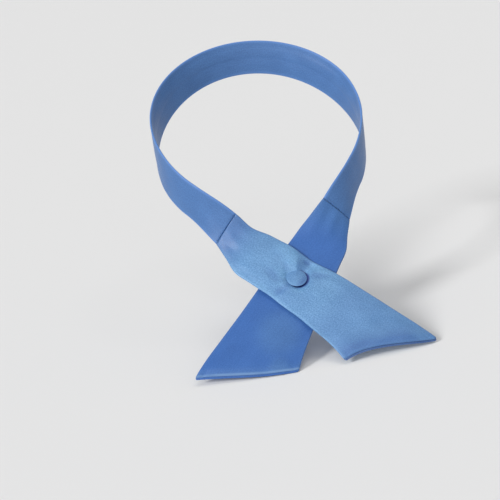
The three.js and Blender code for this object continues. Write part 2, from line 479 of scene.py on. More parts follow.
class Pleat(NamedTuple):
    """A fold of the upper face that fans out from a point: its middle, the directions of its foot, valley,
    crest and far side in degrees, its depth, the crest's share of that, the distances over which it rises,
    and where on the climb its painted shade starts and ends."""

    along: float
    side: float
    foot: float
    valley: float
    crest: float
    far: float
    depth: float
    crest_share: float
    rise_from: float
    rise_to: float
    painted_shade_in: Pair = (-0.15, 0.35)
    painted_shade_out: Pair = (0.8, 0.25)

    def polar(self, along: Array, side: Array) -> tuple[Array, Array]:
        """Work out directions from the fold's middle.

        Args:
            along: Places from the crossing to the free end.
            side: Distances off the strap's axis.

        Returns:
            Directions in degrees, and how full the fold is there.
        """
        turn = np.degrees(np.arctan2(side - self.side, along - self.along))
        reach = np.hypot(side - self.side, along - self.along)
        full = ramp(reach, self.rise_from, self.rise_to - self.rise_from)
        return np.where(turn < -90.0, turn + 360.0, turn), full

    def height_at(self, along: Array, side: Array) -> Array:
        """Work out the height of the fold: round its middle it falls from the foot to the
        valley, climbs to the crest and dies away to the far side, and it grows outwards.

        Args:
            along: Places from the crossing to the free end.
            side: Distances off the strap's axis.

        Returns:
            Heights in millimetres.
        """
        turn, full = self.polar(along, side)
        fall = brisk((turn - self.foot) / (self.valley - self.foot))
        climb = brisk((turn - self.valley) / (self.crest - self.valley))
        die = ramp(turn, self.crest, self.far - self.crest)
        return self.depth * full * (-fall + (1.0 + self.crest_share) * climb - self.crest_share * die)

    def painted_shade_at(self, along: Array, side: Array) -> Array:
        """Work out the painted shade on the fold: most on the climb.

        Args:
            along: Places from the crossing to the free end.
            side: Distances off the strap's axis.

        Returns:
            Shares from 0 to 1.
        """
        turn, full = self.polar(along, side)
        climb = (turn - self.valley) / (self.crest - self.valley)
        return full * ramp(climb, *self.painted_shade_in) * (1.0 - ramp(climb, *self.painted_shade_out))


SOFT_WAVES = (
    Wave(31.0, 24.0, 40.0, 0.11),
    Wave(23.0, -38.0, 150.0, 0.08),
    Wave(14.5, 71.0, 300.0, 0.05),
    Wave(10.5, 8.0, 210.0, 0.035),
    Wave(7.3, -63.0, 20.0, 0.02),
)


@dataclass(frozen=True)
class StrapMake:
    """How every padded strap is made: its path, thickness, folds and laps, and the finish of
    its ends, in millimetres."""

    loop: NeckLoop = NeckLoop()
    thickness: float = 2.4
    edge_round: float = 0.9
    edge_share: float = 0.58
    edge_steps: int = 8
    swell: float = 8.0
    join_radius: float = 0.5
    join_share: float = 0.35
    lap_height: float = 0.18
    lap_width: float = 5.0
    lap_fade: float = 2.0
    lap_edge: float = 0.3
    slip_stitch: float = 6.5
    slip_crisp: int = 16
    slip_pull: Bell = Bell(0.5, 1.4)

    def rim(self, distance: Array) -> Array:
        """Share that a folded edge leaves at a distance from it: a quarter circle."""
        return quarter_round(distance / self.edge_round)

    def padding(self, distance: Array) -> Array:
        """Thickness left near a folded edge: a quarter circle times a share that eases up to 1."""
        swell = (1.0 - self.edge_share) * smooth(distance / self.swell)
        return self.rim(distance) * (self.edge_share + swell)

    def joined(self, distance: Array) -> Array:
        """Thickness left near a join: a quarter circle that starts from a share of its own."""
        return self.join_share + (1.0 - self.join_share) * quarter_round(distance / self.join_radius)

    def stations(self, width: Array, inner: int) -> Array:
        """Distances from one edge across each section, close together at both folds.

        Args:
            width: Width of each section.
            inner: Number of even steps between the two folds.

        Returns:
            One row of distances for each section, without the two edges themselves.
        """
        turn = np.linspace(0.0, math.pi / 2.0, self.edge_steps)[1:]
        fold = self.edge_round * (1.0 - np.cos(turn))
        middle = np.linspace(0.0, 1.0, inner + 1)[1:-1]
        rows = width[:, None]
        between = self.edge_round + (rows - 2.0 * self.edge_round) * middle
        return np.concatenate([fold + 0.0 * rows, between, rows - fold[::-1]], axis=1)

    def lap(self, along: Array, side: Array) -> Array:
        """Work out the lapped seam down a strap's back: a flap with one crisp edge, which is
        drawn down by a slip stitch at even steps.

        Args:
            along: Places along the strap.
            side: Distances off its axis.

        Returns:
            Heights in millimetres.
        """
        flap = smooth(side / self.lap_edge) * (1.0 - ramp(side, self.lap_width, self.lap_fade))
        stitch = np.cos(2.0 * math.pi * along / self.slip_stitch) ** self.slip_crisp
        return self.lap_height * (flap - stitch * self.slip_pull.at(side))


@dataclass(frozen=True)
class EndSeam:
    """Section of a blade's cut end, in millimetres: two rounded lips with a groove between.

    The upper lip lies behind the lower one, which shows as a narrow flange beyond it.
    """

    upper_back: float = 1.0
    lip: float = 0.5
    lowest_turn: float = -0.9
    steps: int = 9
    groove_back: tuple[float, ...] = (0.25, 0.6)
    groove_left: tuple[float, ...] = (0.08, 0.03)
    # The shades below are painted shade under the upper lip, in the groove and on the flange.
    groove_shade: tuple[float, ...] = (0.95, 1.0)
    mouth: Pair = (0.1, 0.7)
    flange: Pair = (-0.7, 0.7)
    flange_shade: float = 0.66

    def profile(self) -> tuple[Array, ...]:
        """Work out the lips as parts of circles, then the groove's bottom.

        Returns:
            Distances back from the end of the upper and of the lower face, the share of the
            thickness left, and how shaded each step of the upper and of the lower lip is.
        """
        turn = np.linspace(math.pi / 2.0, self.lowest_turn, self.steps + 1)[1:]
        lip = self.lip * (1.0 - np.cos(turn))
        groove = self.upper_back + np.array(self.groove_back)
        upper = np.append(self.upper_back + lip, groove)
        lower = np.append(lip, groove)
        share = np.append(0.5 + 0.5 * np.sin(turn), self.groove_left)
        mouth = np.append(ramp(-turn, *self.mouth), self.groove_shade)
        flange = np.append(ramp(-turn, *self.flange), np.ones(len(groove)))
        return upper, lower, share, mouth, self.flange_shade * flange


class Sections(NamedTuple):
    """Sections of a blade, from the neckband to the cut end."""

    long_edge: Array
    short_edge: Array
    width: Array
    draw: Array
    left: Array
    mouth: Array
    flange: Array
    way_out: Array


@dataclass(frozen=True)
class CoveredButton:
    """A low domed button with satin drawn over it, in millimetres.

    The sides of its painted shade and of the painted shade under its rim are directions, given across and up
    the button. Along both of them a radius counts as one.
    """

    name: str = "covered_button_satin"
    along: float = -2.4
    base_height: float = 3.6
    shift_across: float = 0.55
    shift_up: float = 1.25
    lean: float = math.radians(9.5)
    lean_turn: float = math.radians(-8.0)
    radius: float = 5.75
    base_radius: float = 3.5
    rim_height: float = 1.0
    height: float = 1.95
    dome_round: float = 0.2
    clearance: float = 0.08
    wall_slope: float = 3.0
    least_reach: float = 0.01
    press_round: float = 0.04
    tuck_turn: float = math.radians(148.0)
    tuck_open: float = math.radians(47.0)
    tuck_reach: Pair = (4.0, 1.0)
    # The shade fields paint the shadow of the gap under the rim.
    shade_turn: float = math.radians(45.0)
    shade_depth: float = 0.95
    shade_reach: Pair = (0.5, 1.5)
    shade_fade: Pair = (0.7, 0.5)
    gathers: int = 26
    gather_depth: float = 0.013
    gather_rim: Pair = (0.35, 0.9)
    uneven: float = 0.05
    uneven_turn: float = 0.7
    base_steps: int = 12
    rim_steps: int = 10
    dome_steps: int = 34
    sides: int = 156
    # The marks paint a highlight round the rim (fold), shade over the button that grows upwards and towards
    # its side turned from the light (turned), and shade under the rim on that side.
    fold: Bell = Bell(0.3, 0.9)
    cloth_under: float = 0.3
    turned: float = 0.4
    painted_shade_up: float = 0.16
    painted_shade_side: Pair = (0.7, -0.85)
    painted_shade_start: float = 0.38
    painted_shade_strength: float = 1.5
    rim_shade_side: Pair = (0.94, -0.34)
    rim_shade_start: Pair = (-0.45, 0.3)
    rim_shade_height: Pair = (0.95, 0.45)

    def profile(self) -> tuple[Array, Array]:
        """Lay out the button's section: the base turns up round the rim as a quarter ellipse,
        and the dome is a share of another and the rest of a parabola.

        Returns:
            Radii and heights from the base to the top.
        """
        rim = np.linspace(0.0, math.pi / 2.0, self.rim_steps)
        dome = np.linspace(0.0, math.pi / 2.0, self.dome_steps)[1:]
        base = np.linspace(0.0, self.base_radius, self.base_steps)[1:-1]
        rim_radius = self.base_radius + (self.radius - self.base_radius) * np.sin(rim)
        rim_height = self.rim_height * (1.0 - np.cos(rim))
        dome_share = self.dome_round * np.sin(dome) + (1.0 - self.dome_round) * np.sin(dome) ** 2
        dome_height = self.rim_height + (self.height - self.rim_height) * dome_share
        radius = np.concatenate([base, rim_radius, self.radius * np.cos(dome[:-1])])
        height = np.concatenate([np.zeros_like(base), rim_height, dome_height[:-1]])
        return radius, height

    def shift(self, along: Array, side: Array) -> tuple[Array, Array]:
        """Count places of the front strap from the button's axis.

        Args:
            along: Places from the crossing to the free end.
            side: Distances off the strap's axis.

        Returns:
            Both distances from the button's axis.
        """
        sin, cos = math.sin(HALF_CROSS_ANGLE), math.cos(HALF_CROSS_ANGLE)
        middle_along = self.along + self.shift_across * sin - self.shift_up * cos
        middle_side = self.shift_across * cos + self.shift_up * sin
        return along - middle_along, side - middle_side

    def place(self, along: Array, side: Array) -> tuple[Array, Array]:
        """Work out where the button's tilted base lies over the front strap.

        Args:
            along: Places from the crossing to the free end.
            side: Distances off the strap's axis.

        Returns:
            Distances from the button's axis, and heights of the base.
        """
        from_along, from_side = self.shift(along, side)
        way = -way_along(from_along, from_side, self.lean_turn - HALF_CROSS_ANGLE)
        return np.hypot(from_along, from_side), self.base_height - math.tan(self.lean) * way

    def facing(self, along: Array, side: Array, turn: float) -> Array:
        """Cosine of the angle between a place and a direction, seen from the button's axis."""
        shift = self.shift(along, side)
        return way_along(*shift, turn) / np.maximum(np.hypot(*shift), self.least_reach)

    def tuck(self, along: Array, side: Array) -> Array:
        """How freely cloth swells over the rim: fully at the fold, less in the turn's last third."""
        away = np.arccos(np.clip(self.facing(along, side, self.tuck_turn), -1.0, 1.0))
        return 1.0 - smooth(3.0 * away / self.tuck_open - 2.0)

    def press(self, along: Array, side: Array, height: Array) -> Array:
        """Press cloth down under the button.

        The cloth stays under the button's turned-up base and climbs steeply past its rim,
        apart from where it is tucked over the rim. The lower of the two heights is taken with
        a small round between them.

        Args:
            along: Places from the crossing to the free end.
            side: Distances off the strap's axis.
            height: Heights of the cloth without the button.

        Returns:
            Heights of the pressed cloth.
        """
        reach, base = self.place(along, side)
        turned = np.clip((reach - self.base_radius) / (self.radius - self.base_radius), 0.0, 1.0)
        under = base + self.rim_height * (1.0 - np.sqrt(1.0 - turned**2)) - self.clearance
        over = height - under - self.wall_slope * np.maximum(reach - self.radius, 0.0)
        pressed = 0.5 * (over + np.sqrt(over**2 + self.press_round)) * (reach < 2.0 * self.radius)
        return height - pressed * (1.0 - self.tuck(along, side) * ramp(reach, *self.tuck_reach))

    def shade(self, along: Array, side: Array) -> Array:
        """Work out the painted shadow of the gap under the rim: it is full well inside, and wider on the
        side that is turned from the light.

        Args:
            along: Places from the crossing to the free end.
            side: Distances off the strap's axis.

        Returns:
            How dark the painted shadow is, from 0 to 1.
        """
        reach, _ = self.place(along, side)
        wider = self.facing(along, side, self.shade_turn) * np.minimum(reach / self.radius, 1.0)
        edge, fade = (least + more * wider for least, more in (self.shade_reach, self.shade_fade))
        gap = smooth((self.radius + edge - reach) / fade)
        return self.shade_depth * gap * (1.0 - self.tuck(along, side))

    def surface(self) -> Array:
        """Work out the button on its own axes.

        The profile is turned about the button's axis. Under the rim the radius swells and
        shrinks with the cosine of the turn, as cloth gathers there.

        Returns:
            Points of the rings, then the middle of the base and of the top.
        """
        radius, height = self.profile()
        turn = np.arange(self.sides) * 2.0 * math.pi / self.sides
        under = 1.0 - ramp(height, *(share * self.rim_height for share in self.gather_rim))
        gather = self.gather_depth * under[:, None] * (1.0 + np.cos(self.gathers * turn))
        rows = radius[:, None] * (1.0 - gather)
        drawn = self.uneven * np.sin(2.0 * turn + self.uneven_turn) * smooth(radius / self.radius)[:, None]
        z = height[:, None] + drawn * smooth(height / self.rim_height)[:, None]
        rings = np.stack([rows * np.cos(turn), rows * np.sin(turn), z], axis=-1).reshape(-1, 3)
        return np.vstack([rings, [[0.0, 0.0, 0.0], [0.0, 0.0, self.height]]])

    def faces(self, local: Array) -> MeshArrays:
        """Join the rings, and close the base and the top with fans.

        The cloth is laid flat by its place on the button, and is spread a little under the
        rim.

        Args:
            local: Points on the button's own axes.

        Returns:
            Quads and triangles with their cloth places.
        """
        foot, top = len(local) - 2, len(local) - 1
        ring = np.arange(self.sides)
        after, last = np.roll(ring, -1), foot - self.sides
        fans = (after, ring, foot + 0 * ring), (last + ring, last + after, top + 0 * ring)
        triangles = np.concatenate([np.stack(fan, axis=-1) for fan in fans])
        quads = ring_quads(foot // self.sides, self.sides)
        below = (local[:, 2:] < self.rim_height) * (1.0 - local[:, 2:] / self.rim_height)
        uv = local[:, :2] * MM * (1.0 + self.cloth_under * below)
        return MeshArrays(quads, uv[quads], triangles, uv[triangles])

    def marks(self, local: Array) -> dict[str, Array]:
        """Work out a painted highlight round the rim, painted shade under it on the side away from the
        light, and painted shade over the button that grows upwards and is most on its side turned from the
        light.

        Args:
            local: Points on the button's own axes.

        Returns:
            Values for each point, by attribute name.
        """
        x, y, z = local.T
        reach = np.linalg.norm(local[:, :2], axis=1)
        up = way_along(y, x, self.lean_turn) / self.radius
        across = way_along(x, -y, self.lean_turn) / self.radius
        toward_painted_shade, rim_shade_side = (side[0] * across + side[1] * up for side in (self.painted_shade_side, self.rim_shade_side))
        turned = self.turned + self.painted_shade_up * up + self.painted_shade_strength * np.maximum(toward_painted_shade - self.painted_shade_start, 0.0)
        top, fade = (share * self.rim_height for share in self.rim_shade_height)
        seam = smooth((top - z) / fade) * ramp(rim_shade_side, *self.rim_shade_start)
        return {"fold": self.fold.at(reach - self.radius), "seam": seam, "turned": np.minimum(turned, 1.0)}

    def build(self, loop: NeckLoop, satin: bpy.types.Material) -> bpy.types.Object:
        """Make the button, let it stand for its solid and dress it.

        Args:
            loop: Path of the strap that the button sits on.
            satin: Its material.

        Returns:
            The finished piece.
        """
        local = self.surface()
        at = loop.frame_at(Strap.WEARER_RIGHT, np.array([-self.along * MM]))
        level = np.array([math.cos(self.lean_turn), math.sin(self.lean_turn), 0.0])
        down = np.cross(OFF_CHEST, level)
        tilted = way_along(down, -OFF_CHEST, self.lean), way_along(OFF_CHEST, down, self.lean)
        middle = np.array([self.shift_across, self.shift_up, self.base_height])
        flat = at.centre[0] + (middle + local @ np.array([level, *tilted])) * MM
        piece = new_piece(self.name, loop.to_wearer(flat), self.faces(local), self.marks(local))
        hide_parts("covered_button")
        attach(piece, "root")
        dress(piece, satin)
        return piece


class TipCrease(NamedTuple):
    """A short crease beside a tip: its depth, how far it lies off the folded edge at the hem
    and by how much more with each step back from there, and its half width."""

    depth: float
    off_edge: float
    slope: float
    width: float

    def at(self, from_edge: Array, hem: Array) -> Array:
        """Depth of the crease at distances from the folded edge and from the hem."""
        return Bell(self.depth, self.width).at(from_edge - self.off_edge - self.slope * hem)


class Spots(NamedTuple):
    """Where the points of a face lie on the flat strap: along and to the side, their share
    across from 1 on the long edge to -1 on the short one, and their distances from the cut
    end along the strap and square to it, and from both folded edges."""

    along: Array
    side: Array
    share: Array
    to_end: Array
    hem: Array
    from_long: Array
    from_short: Array

    @property
    def from_edge(self) -> Array:
        """Distance from the nearer folded edge."""
        return np.minimum(self.from_long, self.from_short)


@dataclass(frozen=True)
class Blade:
    """A padded satin blade with a cut end on the bias, in millimetres on its own flat strap."""

    name: str
    node: str
    slot: str
    strap: Strap
    rows: tuple[SectionRow, ...]
    puckers: tuple[Pucker, ...]
    cross_height: float
    droop: float
    crown: float
    end_lift: float
    end_bow: float
    end_skew: float
    end_curl: float
    end_fall: float
    # Painted highlight on top of the cut end's lip.
    end_painted_highlight: Bell
    droop_run: float = 100.0
    end_reach: float = 22.0
    curl_reach: float = 14.0
    fall_reach: float = 6.5
    flat_until: Pair = (20.0, 32.0)
    # Painted sheen and shade, moving the colour towards the band's: a base amount, more towards the tail,
    # where the strap stands up, at the cut end, at both folded edges and on the pleats. On the front blade a
    # positive amount is painted shade and a negative one painted highlight; on the rear blade a positive
    # amount is painted highlight.
    base_painted_sheen_shade: float = 0.0
    tail_painted_shade: float = 0.0
    tail: Pair = (12.0, 18.0)
    upright: Pair = (30.0, 26.0)
    end_painted_sheen_shade: Bell = Bell(0.0, 8.0)
    long_edge_painted_shade: Bell = Bell(0.0, 1.0)
    short_edge_painted_highlight: Bell = Bell(0.0, 1.6)
    # Rubbing and painted highlight on the folded edges, and how much the lip's painted highlight is
    # stretched across.
    fold_wear_and_highlight: Bell = Bell(0.18, 1.0)
    highlight_stretch: float = 1.7
    pleats: tuple[Pleat, ...] = ()
    pleat_painted_shade: float = 0.36
    pleat_through: float = 0.5
    pleat_edge: float = 3.5
    button: CoveredButton | None = None
    seam: EndSeam = EndSeam()
    long_corner: float = 2.0
    short_corner: float = 1.2
    corner_reach: float = 7.0
    long_knob: Bell = Bell(0.3, 3.2)
    short_knob: Bell = Bell(0.2, 2.8)
    long_crease: TipCrease = TipCrease(0.34, 3.6, 0.35, 0.7)
    short_crease: TipCrease = TipCrease(0.2, 2.6, 0.3, 0.6)
    crease_until: Pair = (1.5, 4.5)
    wave_shift: float = 37.0
    wave_end: float = 3.0
    lap_from: Pair = (6.0, 3.0)
    gather: float = 0.28
    gather_from: Pair = (30.0, 14.0)
    gather_until: Pair = (48.0, 6.0)
    gather_turn: float = 2.6 * math.pi
    gather_shift: float = 0.6
    step: float = 0.55
    inner: int = 70

    def edges(self) -> tuple[Array, Array]:
        """Tables of the long and the short edge, as along and side off the axis."""
        table = np.array(self.rows)
        return table[:, :2], table[:, 2:] * [1.0, -1.0]

    def positions(self) -> Array:
        """Place the sections along the table, about one step apart.

        Returns:
            Places counted in rows.
        """
        middle = sum(self.edges()) / 2.0
        lengths = np.concatenate([[0.0], np.cumsum(np.linalg.norm(np.diff(middle, axis=0), axis=1))])
        count = int(lengths[-1] / self.step)
        return np.interp(np.linspace(0.0, lengths[-1], count), lengths, np.arange(len(lengths)))

    def sections(self, make: StrapMake) -> Sections:
        """Lay out the sections: evenly along the blade, then close together in its end.

        Args:
            make: How the strap is made.

        Returns:
            Both edges of each section, how far each face is drawn back there, the share of
            the thickness that is left, and how shaded both faces are at the end's lips.
        """
        main, last = self.positions(), float(len(self.rows) - 1)
        upper, lower, share, mouth, flange = self.seam.profile()
        position = np.concatenate([main, np.full(len(share), last)])
        ease = smooth(main - last + 1.0)
        inset_upper = np.concatenate([upper[0] * ease, upper])
        inset_lower = np.concatenate([lower[0] * ease, lower])
        middle = ((inset_upper + inset_lower) / 2.0)[:, None]
        long_edge, short_edge = self.edges()
        tip_line = long_edge[-1] - short_edge[-1]
        way_out = np.array([tip_line[1], -tip_line[0]]) / np.linalg.norm(tip_line)
        long_edge, short_edge = (
            through(edge, position) - middle * self.way_back(edge, way_out)
            for edge in (long_edge, short_edge)
        )
        first_length = abs(self.rows[1].long_along - self.rows[0].long_along)
        left = make.joined(position * first_length) * np.concatenate([np.ones(len(main)), share])
        return Sections(
            long_edge=long_edge,
            short_edge=short_edge,
            width=np.linalg.norm(long_edge - short_edge, axis=1),
            draw=(inset_upper - inset_lower) / 2.0,
            left=left,
            mouth=np.concatenate([np.zeros(len(main)), mouth]),
            flange=np.concatenate([np.zeros(len(main)), flange]),
            way_out=way_out,
        )

    @staticmethod
    def way_back(edge: Array, way_out: Array) -> Array:
        """Step along an edge's last stretch that draws it back by one from the cut end."""
        last = edge[-1] - edge[-2]
        return last / (last @ way_out)

    @staticmethod
    def corner(distance: Array, reach: float) -> Array:
        """Draw a tip back by its reach times the square of 1 less the root of distance by reach."""
        return reach * (1.0 - np.sqrt(np.minimum(distance / reach, 1.0))) ** 2

    def spots(self, make: StrapMake, at: Sections, station: Array, face: Face) -> Spots:
        """Place the points of a face on the flat strap.

        At the cut end the two faces are drawn back by different amounts, the end bows
        across its width, and both tips are rounded off.

        Args:
            make: How the strap is made.
            at: Sections of the blade.
            station: Distances from the long edge across each section.
            face: The face.

        Returns:
            The places and their distances.
        """
        across = (station / at.width[:, None])[..., None]
        flat = at.long_edge[:, None] * (1.0 - across) + at.short_edge[:, None] * across
        long_edge, short_edge = self.edges()
        tips = long_edge[-1] * (1.0 - across) + short_edge[-1] * across
        to_end = np.maximum(tips[..., 0] - flat[..., 0], 0.0)
        hem = to_end * at.way_out[0]
        share = 1.0 - 2.0 * across[..., 0]
        from_short = at.width[:, None] - station
        fold = make.rim(np.minimum(station, from_short))
        flat = flat - (face.value * at.draw[:, None] * fold)[..., None] * at.way_out
        bow = (1.0 - share * share) * (self.end_bow - self.end_skew * share)
        corner = self.corner(station, self.long_corner) + self.corner(from_short, self.short_corner)
        along = flat[..., 0] - bow * (1.0 - smooth(to_end / self.end_reach))
        along = along - corner * (1.0 - smooth(hem / self.corner_reach))
        return Spots(along, flat[..., 1], share, to_end, hem, station, from_short)

    def middle_height(self, at: Spots) -> Array:
        """Height of the middle surface off the plane of the straps.

        The blade droops with the square of its run from the crossing and arches across its
        width. Its cut end lifts a little at the middle and curls up with the square of the
        way into its last stretch. Where it narrows to the neckband its cloth is gathered: a
        wave across the width rises towards the seam and dies just before it.

        Args:
            at: Places of the points.

        Returns:
            Heights in millimetres.
        """
        droop = -self.droop * (np.maximum(at.along, 0.0) / self.droop_run) ** 2
        fade = 1.0 - ramp(-at.along, *self.flat_until)
        crown = -self.crown * at.share * at.share * fade
        lift = self.end_lift * (1.0 - at.share * at.share) * (1.0 - smooth(at.to_end / self.end_reach))
        curl = self.end_curl * np.maximum(1.0 - at.to_end / self.curl_reach, 0.0) ** 2
        zone = ramp(-at.along, *self.gather_from) * (1.0 - ramp(-at.along, *self.gather_until))
        wave = np.cos(self.gather_turn * at.share + self.gather_shift) * (1.0 - at.share**4)
        return droop + self.cross_height * fade + crown + lift + curl + self.gather * zone * wave

    def upper_detail(self, at: Spots) -> Array:
        """Work out the small relief of the upper face: its soft waves, and a short crease
        beside each tip.

        Args:
            at: Places of the points.

        Returns:
            Heights in millimetres.
        """
        soft = wave_height(SOFT_WAVES, at.along + self.wave_shift * self.strap.value, at.side)
        creases = self.long_crease.at(at.from_long, at.hem) + self.short_crease.at(at.from_short, at.hem)
        return soft * smooth(at.hem / self.wave_end) - creases * (1.0 - ramp(at.hem, *self.crease_until))

    def height(self, make: StrapMake, left: Array, at: Spots, face: Face) -> Array:
        """Work out the height of a face.

        It is that of the middle surface, plus or minus half the thickness, plus dents,
        ridges and waves that fade out at the folded edges.

        Args:
            make: How the strap is made.
            left: Share of the thickness that is left at each section.
            at: Places of the points.
            face: The face.

        Returns:
            Heights in millimetres.
        """
        fold = make.rim(at.from_edge)
        knob = self.long_knob.at(at.from_long + at.hem) + self.short_knob.at(at.from_short + at.hem)
        taper = 0.5 * self.end_fall * (1.0 - smooth(at.hem / self.fall_reach))
        pad = (make.thickness / 2.0 - taper + knob) * make.padding(at.from_edge) * left[:, None]
        pleat = sum(pleat.height_at(at.along, at.side) for pleat in self.pleats)
        pucker = sum(pucker.height * pucker.share(at.along, at.side) for pucker in self.puckers)
        pucker = pucker + (1.0 - self.pleat_through) * pleat * smooth(at.from_edge / self.pleat_edge)
        dents = pucker if face is Face.UPPER else np.maximum(pucker, 0.0)
        shaped = dents * fold + self.pleat_through * pleat
        height = self.middle_height(at) + face.value * pad - taper + shaped
        if face is Face.UPPER:
            height = height + self.upper_detail(at) * fold
        if face is Face.LOWER:
            height = height - make.lap(at.along, at.side) * ramp(at.hem, *self.lap_from) * fold
        if face is Face.UPPER and self.button is not None:
            height = self.button.press(at.along, at.side, height)
        return height

    def wear_and_highlight(self, at: Spots, face: Face) -> Array:
        """Work out the lighter mark: rubbing and painted highlight along the folds, and a painted highlight
        unevenly on top of the lip.

        Args:
            at: Places of the points.
            face: The face.

        Returns:
            Shares from 0 to 1.
        """
        lip_top = self.seam.lip + 0.5 * self.seam.upper_back
        uneven = 1.0 + wave_height(SOFT_WAVES, at.along, self.highlight_stretch * at.side)
        end = self.end_painted_highlight.at(at.hem - lip_top) * uneven * (face is Face.UPPER)
        return np.clip(np.maximum(self.fold_wear_and_highlight.at(at.from_edge), end), 0.0, 1.0)

    def turned(self, at: Spots, face: Face) -> Array:
        """Work out the painted sheen and shade, as a share that moves the colour towards the band's colours:
        where the strap stands on edge, at its folds, and on the upper face at its dents, pleats, tail and
        cut end.

        Args:
            at: Places of the points.
            face: The face.

        Returns:
            Amounts, of which those between 0 and 1 are used.
        """
        turned = self.base_painted_sheen_shade + ramp(-at.along, *self.upright)
        turned = turned + self.long_edge_painted_shade.at(at.from_long) + self.short_edge_painted_highlight.at(at.from_short)
        if face is Face.UPPER:
            for pucker in self.puckers:
                turned = turned + pucker.turned * pucker.share(at.along, at.side)
            for pleat in self.pleats:
                turned = turned + self.pleat_painted_shade * pleat.painted_shade_at(at.along, at.side)
            turned = turned + self.tail_painted_shade * ramp(at.along, *self.tail) + self.end_painted_sheen_shade.at(at.hem)
        return turned

    def face_at(self, make: StrapMake, at: Sections, station: Array, face: Face) -> ClothGrid:
        """Work out one face of the blade.

        Args:
            make: How the strap is made.
            at: Sections of the blade.
            station: Distances from the long edge across each section.
            face: The face.

        Returns:
            The face's points and marks.
        """
        spots = self.spots(make, at, station, face)
        along, side = spots.along, spots.side
        height = self.height(make, at.left, spots, face)
        half_width = np.broadcast_to(-at.short_edge[:, None, 1], side.shape)
        points = make.loop.points(self.strap, -along * MM, side * MM, half_width * MM, height * MM)
        # Painted shade at the end's lips, and the painted shadow of the gap under the button's rim.
        shade = np.broadcast_to((at.mouth if face is Face.UPPER else at.flange)[:, None], side.shape)
        if face is Face.UPPER and self.button is not None:
            shade = np.maximum(shade, self.button.shade(along, side))
        return ClothGrid(points, along, station, self.wear_and_highlight(spots, face), shade, self.turned(spots, face))

    def build(self, make: StrapMake, satin: bpy.types.Material) -> bpy.types.Object:
        """Make the blade, let it stand for its solid and dress it.

        Its last rings roll over the cut end and into its seam, and its first ones round it
        off where it meets the neckband.

        Args:
            make: How the strap is made.
            satin: Its material.

        Returns:
            The finished piece.
        """
        at = self.sections(make)
        stations = make.stations(at.width, self.inner)
        piece = strap_piece(self.name, partial(self.face_at, make, at), at.width, stations)
        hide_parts(self.node)
        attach(piece, "root")
        dress(piece, satin)
        return piece


COVERED_BUTTON = CoveredButton()

FRONT_BLADE = Blade(
    name="front_blade_satin",
    node="front_blade",
    slot="satin_front",
    strap=Strap.WEARER_RIGHT,
    rows=(
        SectionRow(-54.0, 10.5, -54.0, 10.5),
        SectionRow(-43.0, 10.2, -43.0, 13.3),
        SectionRow(-32.0, 14.2, -32.0, 17.2),
        SectionRow(-21.0, 16.2, -21.0, 17.2),
        SectionRow(-8.0, 16.45, -8.0, 16.4),
        SectionRow(2.0, 17.4, 1.0, 16.7),
        SectionRow(14.0, 19.25, 12.0, 16.5),
        SectionRow(31.0, 20.7, 23.0, 17.0),
        SectionRow(50.0, 22.5, 34.0, 17.4),
        SectionRow(66.0, 24.2, 42.0, 18.65),
        SectionRow(77.9, 24.65, 47.7, 19.7),
    ),
    # Puckers with no height are only patches of painted shade and highlight; the others add some as well.
    puckers=(
        Pucker(-3.4, 0.9, 7.3, 7.1, 0.0, -1.9),
        Pucker(-4.2, -5.0, 4.6, 2.8, 0.0, 0.85, 0.12),
        Pucker(-5.0, -9.4, 2.0, 5.2, -11.0, -0.45, 0.4),
        Pucker(-4.5, -13.9, 8.0, 2.8, 0.0, 0.0, 0.24),
        Pucker(-2.5, -9.0, 3.8, 2.6, 0.0, 0.0, 0.16),
        Pucker(-5.6, 13.3, 2.4, 1.3, 15.0, 0.0, 0.4),
        Pucker(-13.0, -5.6, 6.8, 2.9, 2.0, -0.35, 0.32),
        Pucker(6.0, 11.2, 6.4, 2.2, 42.0, -0.3, 0.36),
        Pucker(0.0, -7.6, 4.0, 2.5, 30.0, -0.1, 0.12),
        Pucker(-7.9, -5.8, 6.0, 2.6, -37.0, 0.0, -0.28),
        Pucker(-12.5, 3.2, 4.2, 1.5, -39.0, -0.15, 0.16),
        Pucker(-9.2, 4.6, 4.2, 3.2, -40.0, 0.3, -0.12),
        Pucker(2.2, -4.4, 6.0, 2.2, 52.6, 0.0, -0.25),
        Pucker(15.0, 3.0, 9.0, 5.0, 20.0, 0.3, -0.1),
        Pucker(-24.0, -10.0, 8.0, 4.0, 0.0, 0.3),
        Pucker(5.5, 15.4, 10.0, 3.2, 9.0, 0.1, -0.28),
        Pucker(-12.5, 10.0, 6.5, 3.4, 52.0, 0.1, -0.26),
        Pucker(-18.0, 13.0, 8.0, 4.5, 8.0, 0.0, -0.26),
        Pucker(-12.0, -1.5, 4.5, 3.2, 0.0, 0.0, -0.2),
        Pucker(-9.0, -15.0, 8.0, 2.6, 0.0, 0.0, -0.26),
        Pucker(12.0, 11.0, 6.0, 3.0, 0.0, 0.0, -0.12),
        Pucker(62.0, 6.0, 7.0, 9.0, 0.0, 0.0, 0.14),
        Pucker(49.5, -11.0, 4.0, 8.0, -15.0, 0.0, 0.18),
        Pucker(72.0, 20.5, 8.0, 5.0, 20.0, 0.0, -0.26),
    ),
    cross_height=4.0,
    droop=10.2,
    crown=1.2,
    end_lift=1.2,
    end_bow=1.9,
    end_skew=3.0,
    end_curl=1.1,
    end_fall=1.1,
    # Painted highlight on the lip and the short edge; painted shade at the base, tail, cut end and long
    # edge.
    end_painted_highlight=Bell(0.1, 0.6),
    base_painted_sheen_shade=0.26,
    tail_painted_shade=0.24,
    end_painted_sheen_shade=Bell(0.54, 8.0),
    long_edge_painted_shade=Bell(0.24, 1.0),
    short_edge_painted_highlight=Bell(-0.22, 1.6),
    pleats=(Pleat(-2.5, 0.5, 60.0, 92.0, 130.0, 168.0, 1.7, 0.4, 3.6, 8.5),),
    button=COVERED_BUTTON,
    long_corner=2.7,
    short_corner=1.5,
    gather=0.2,
)

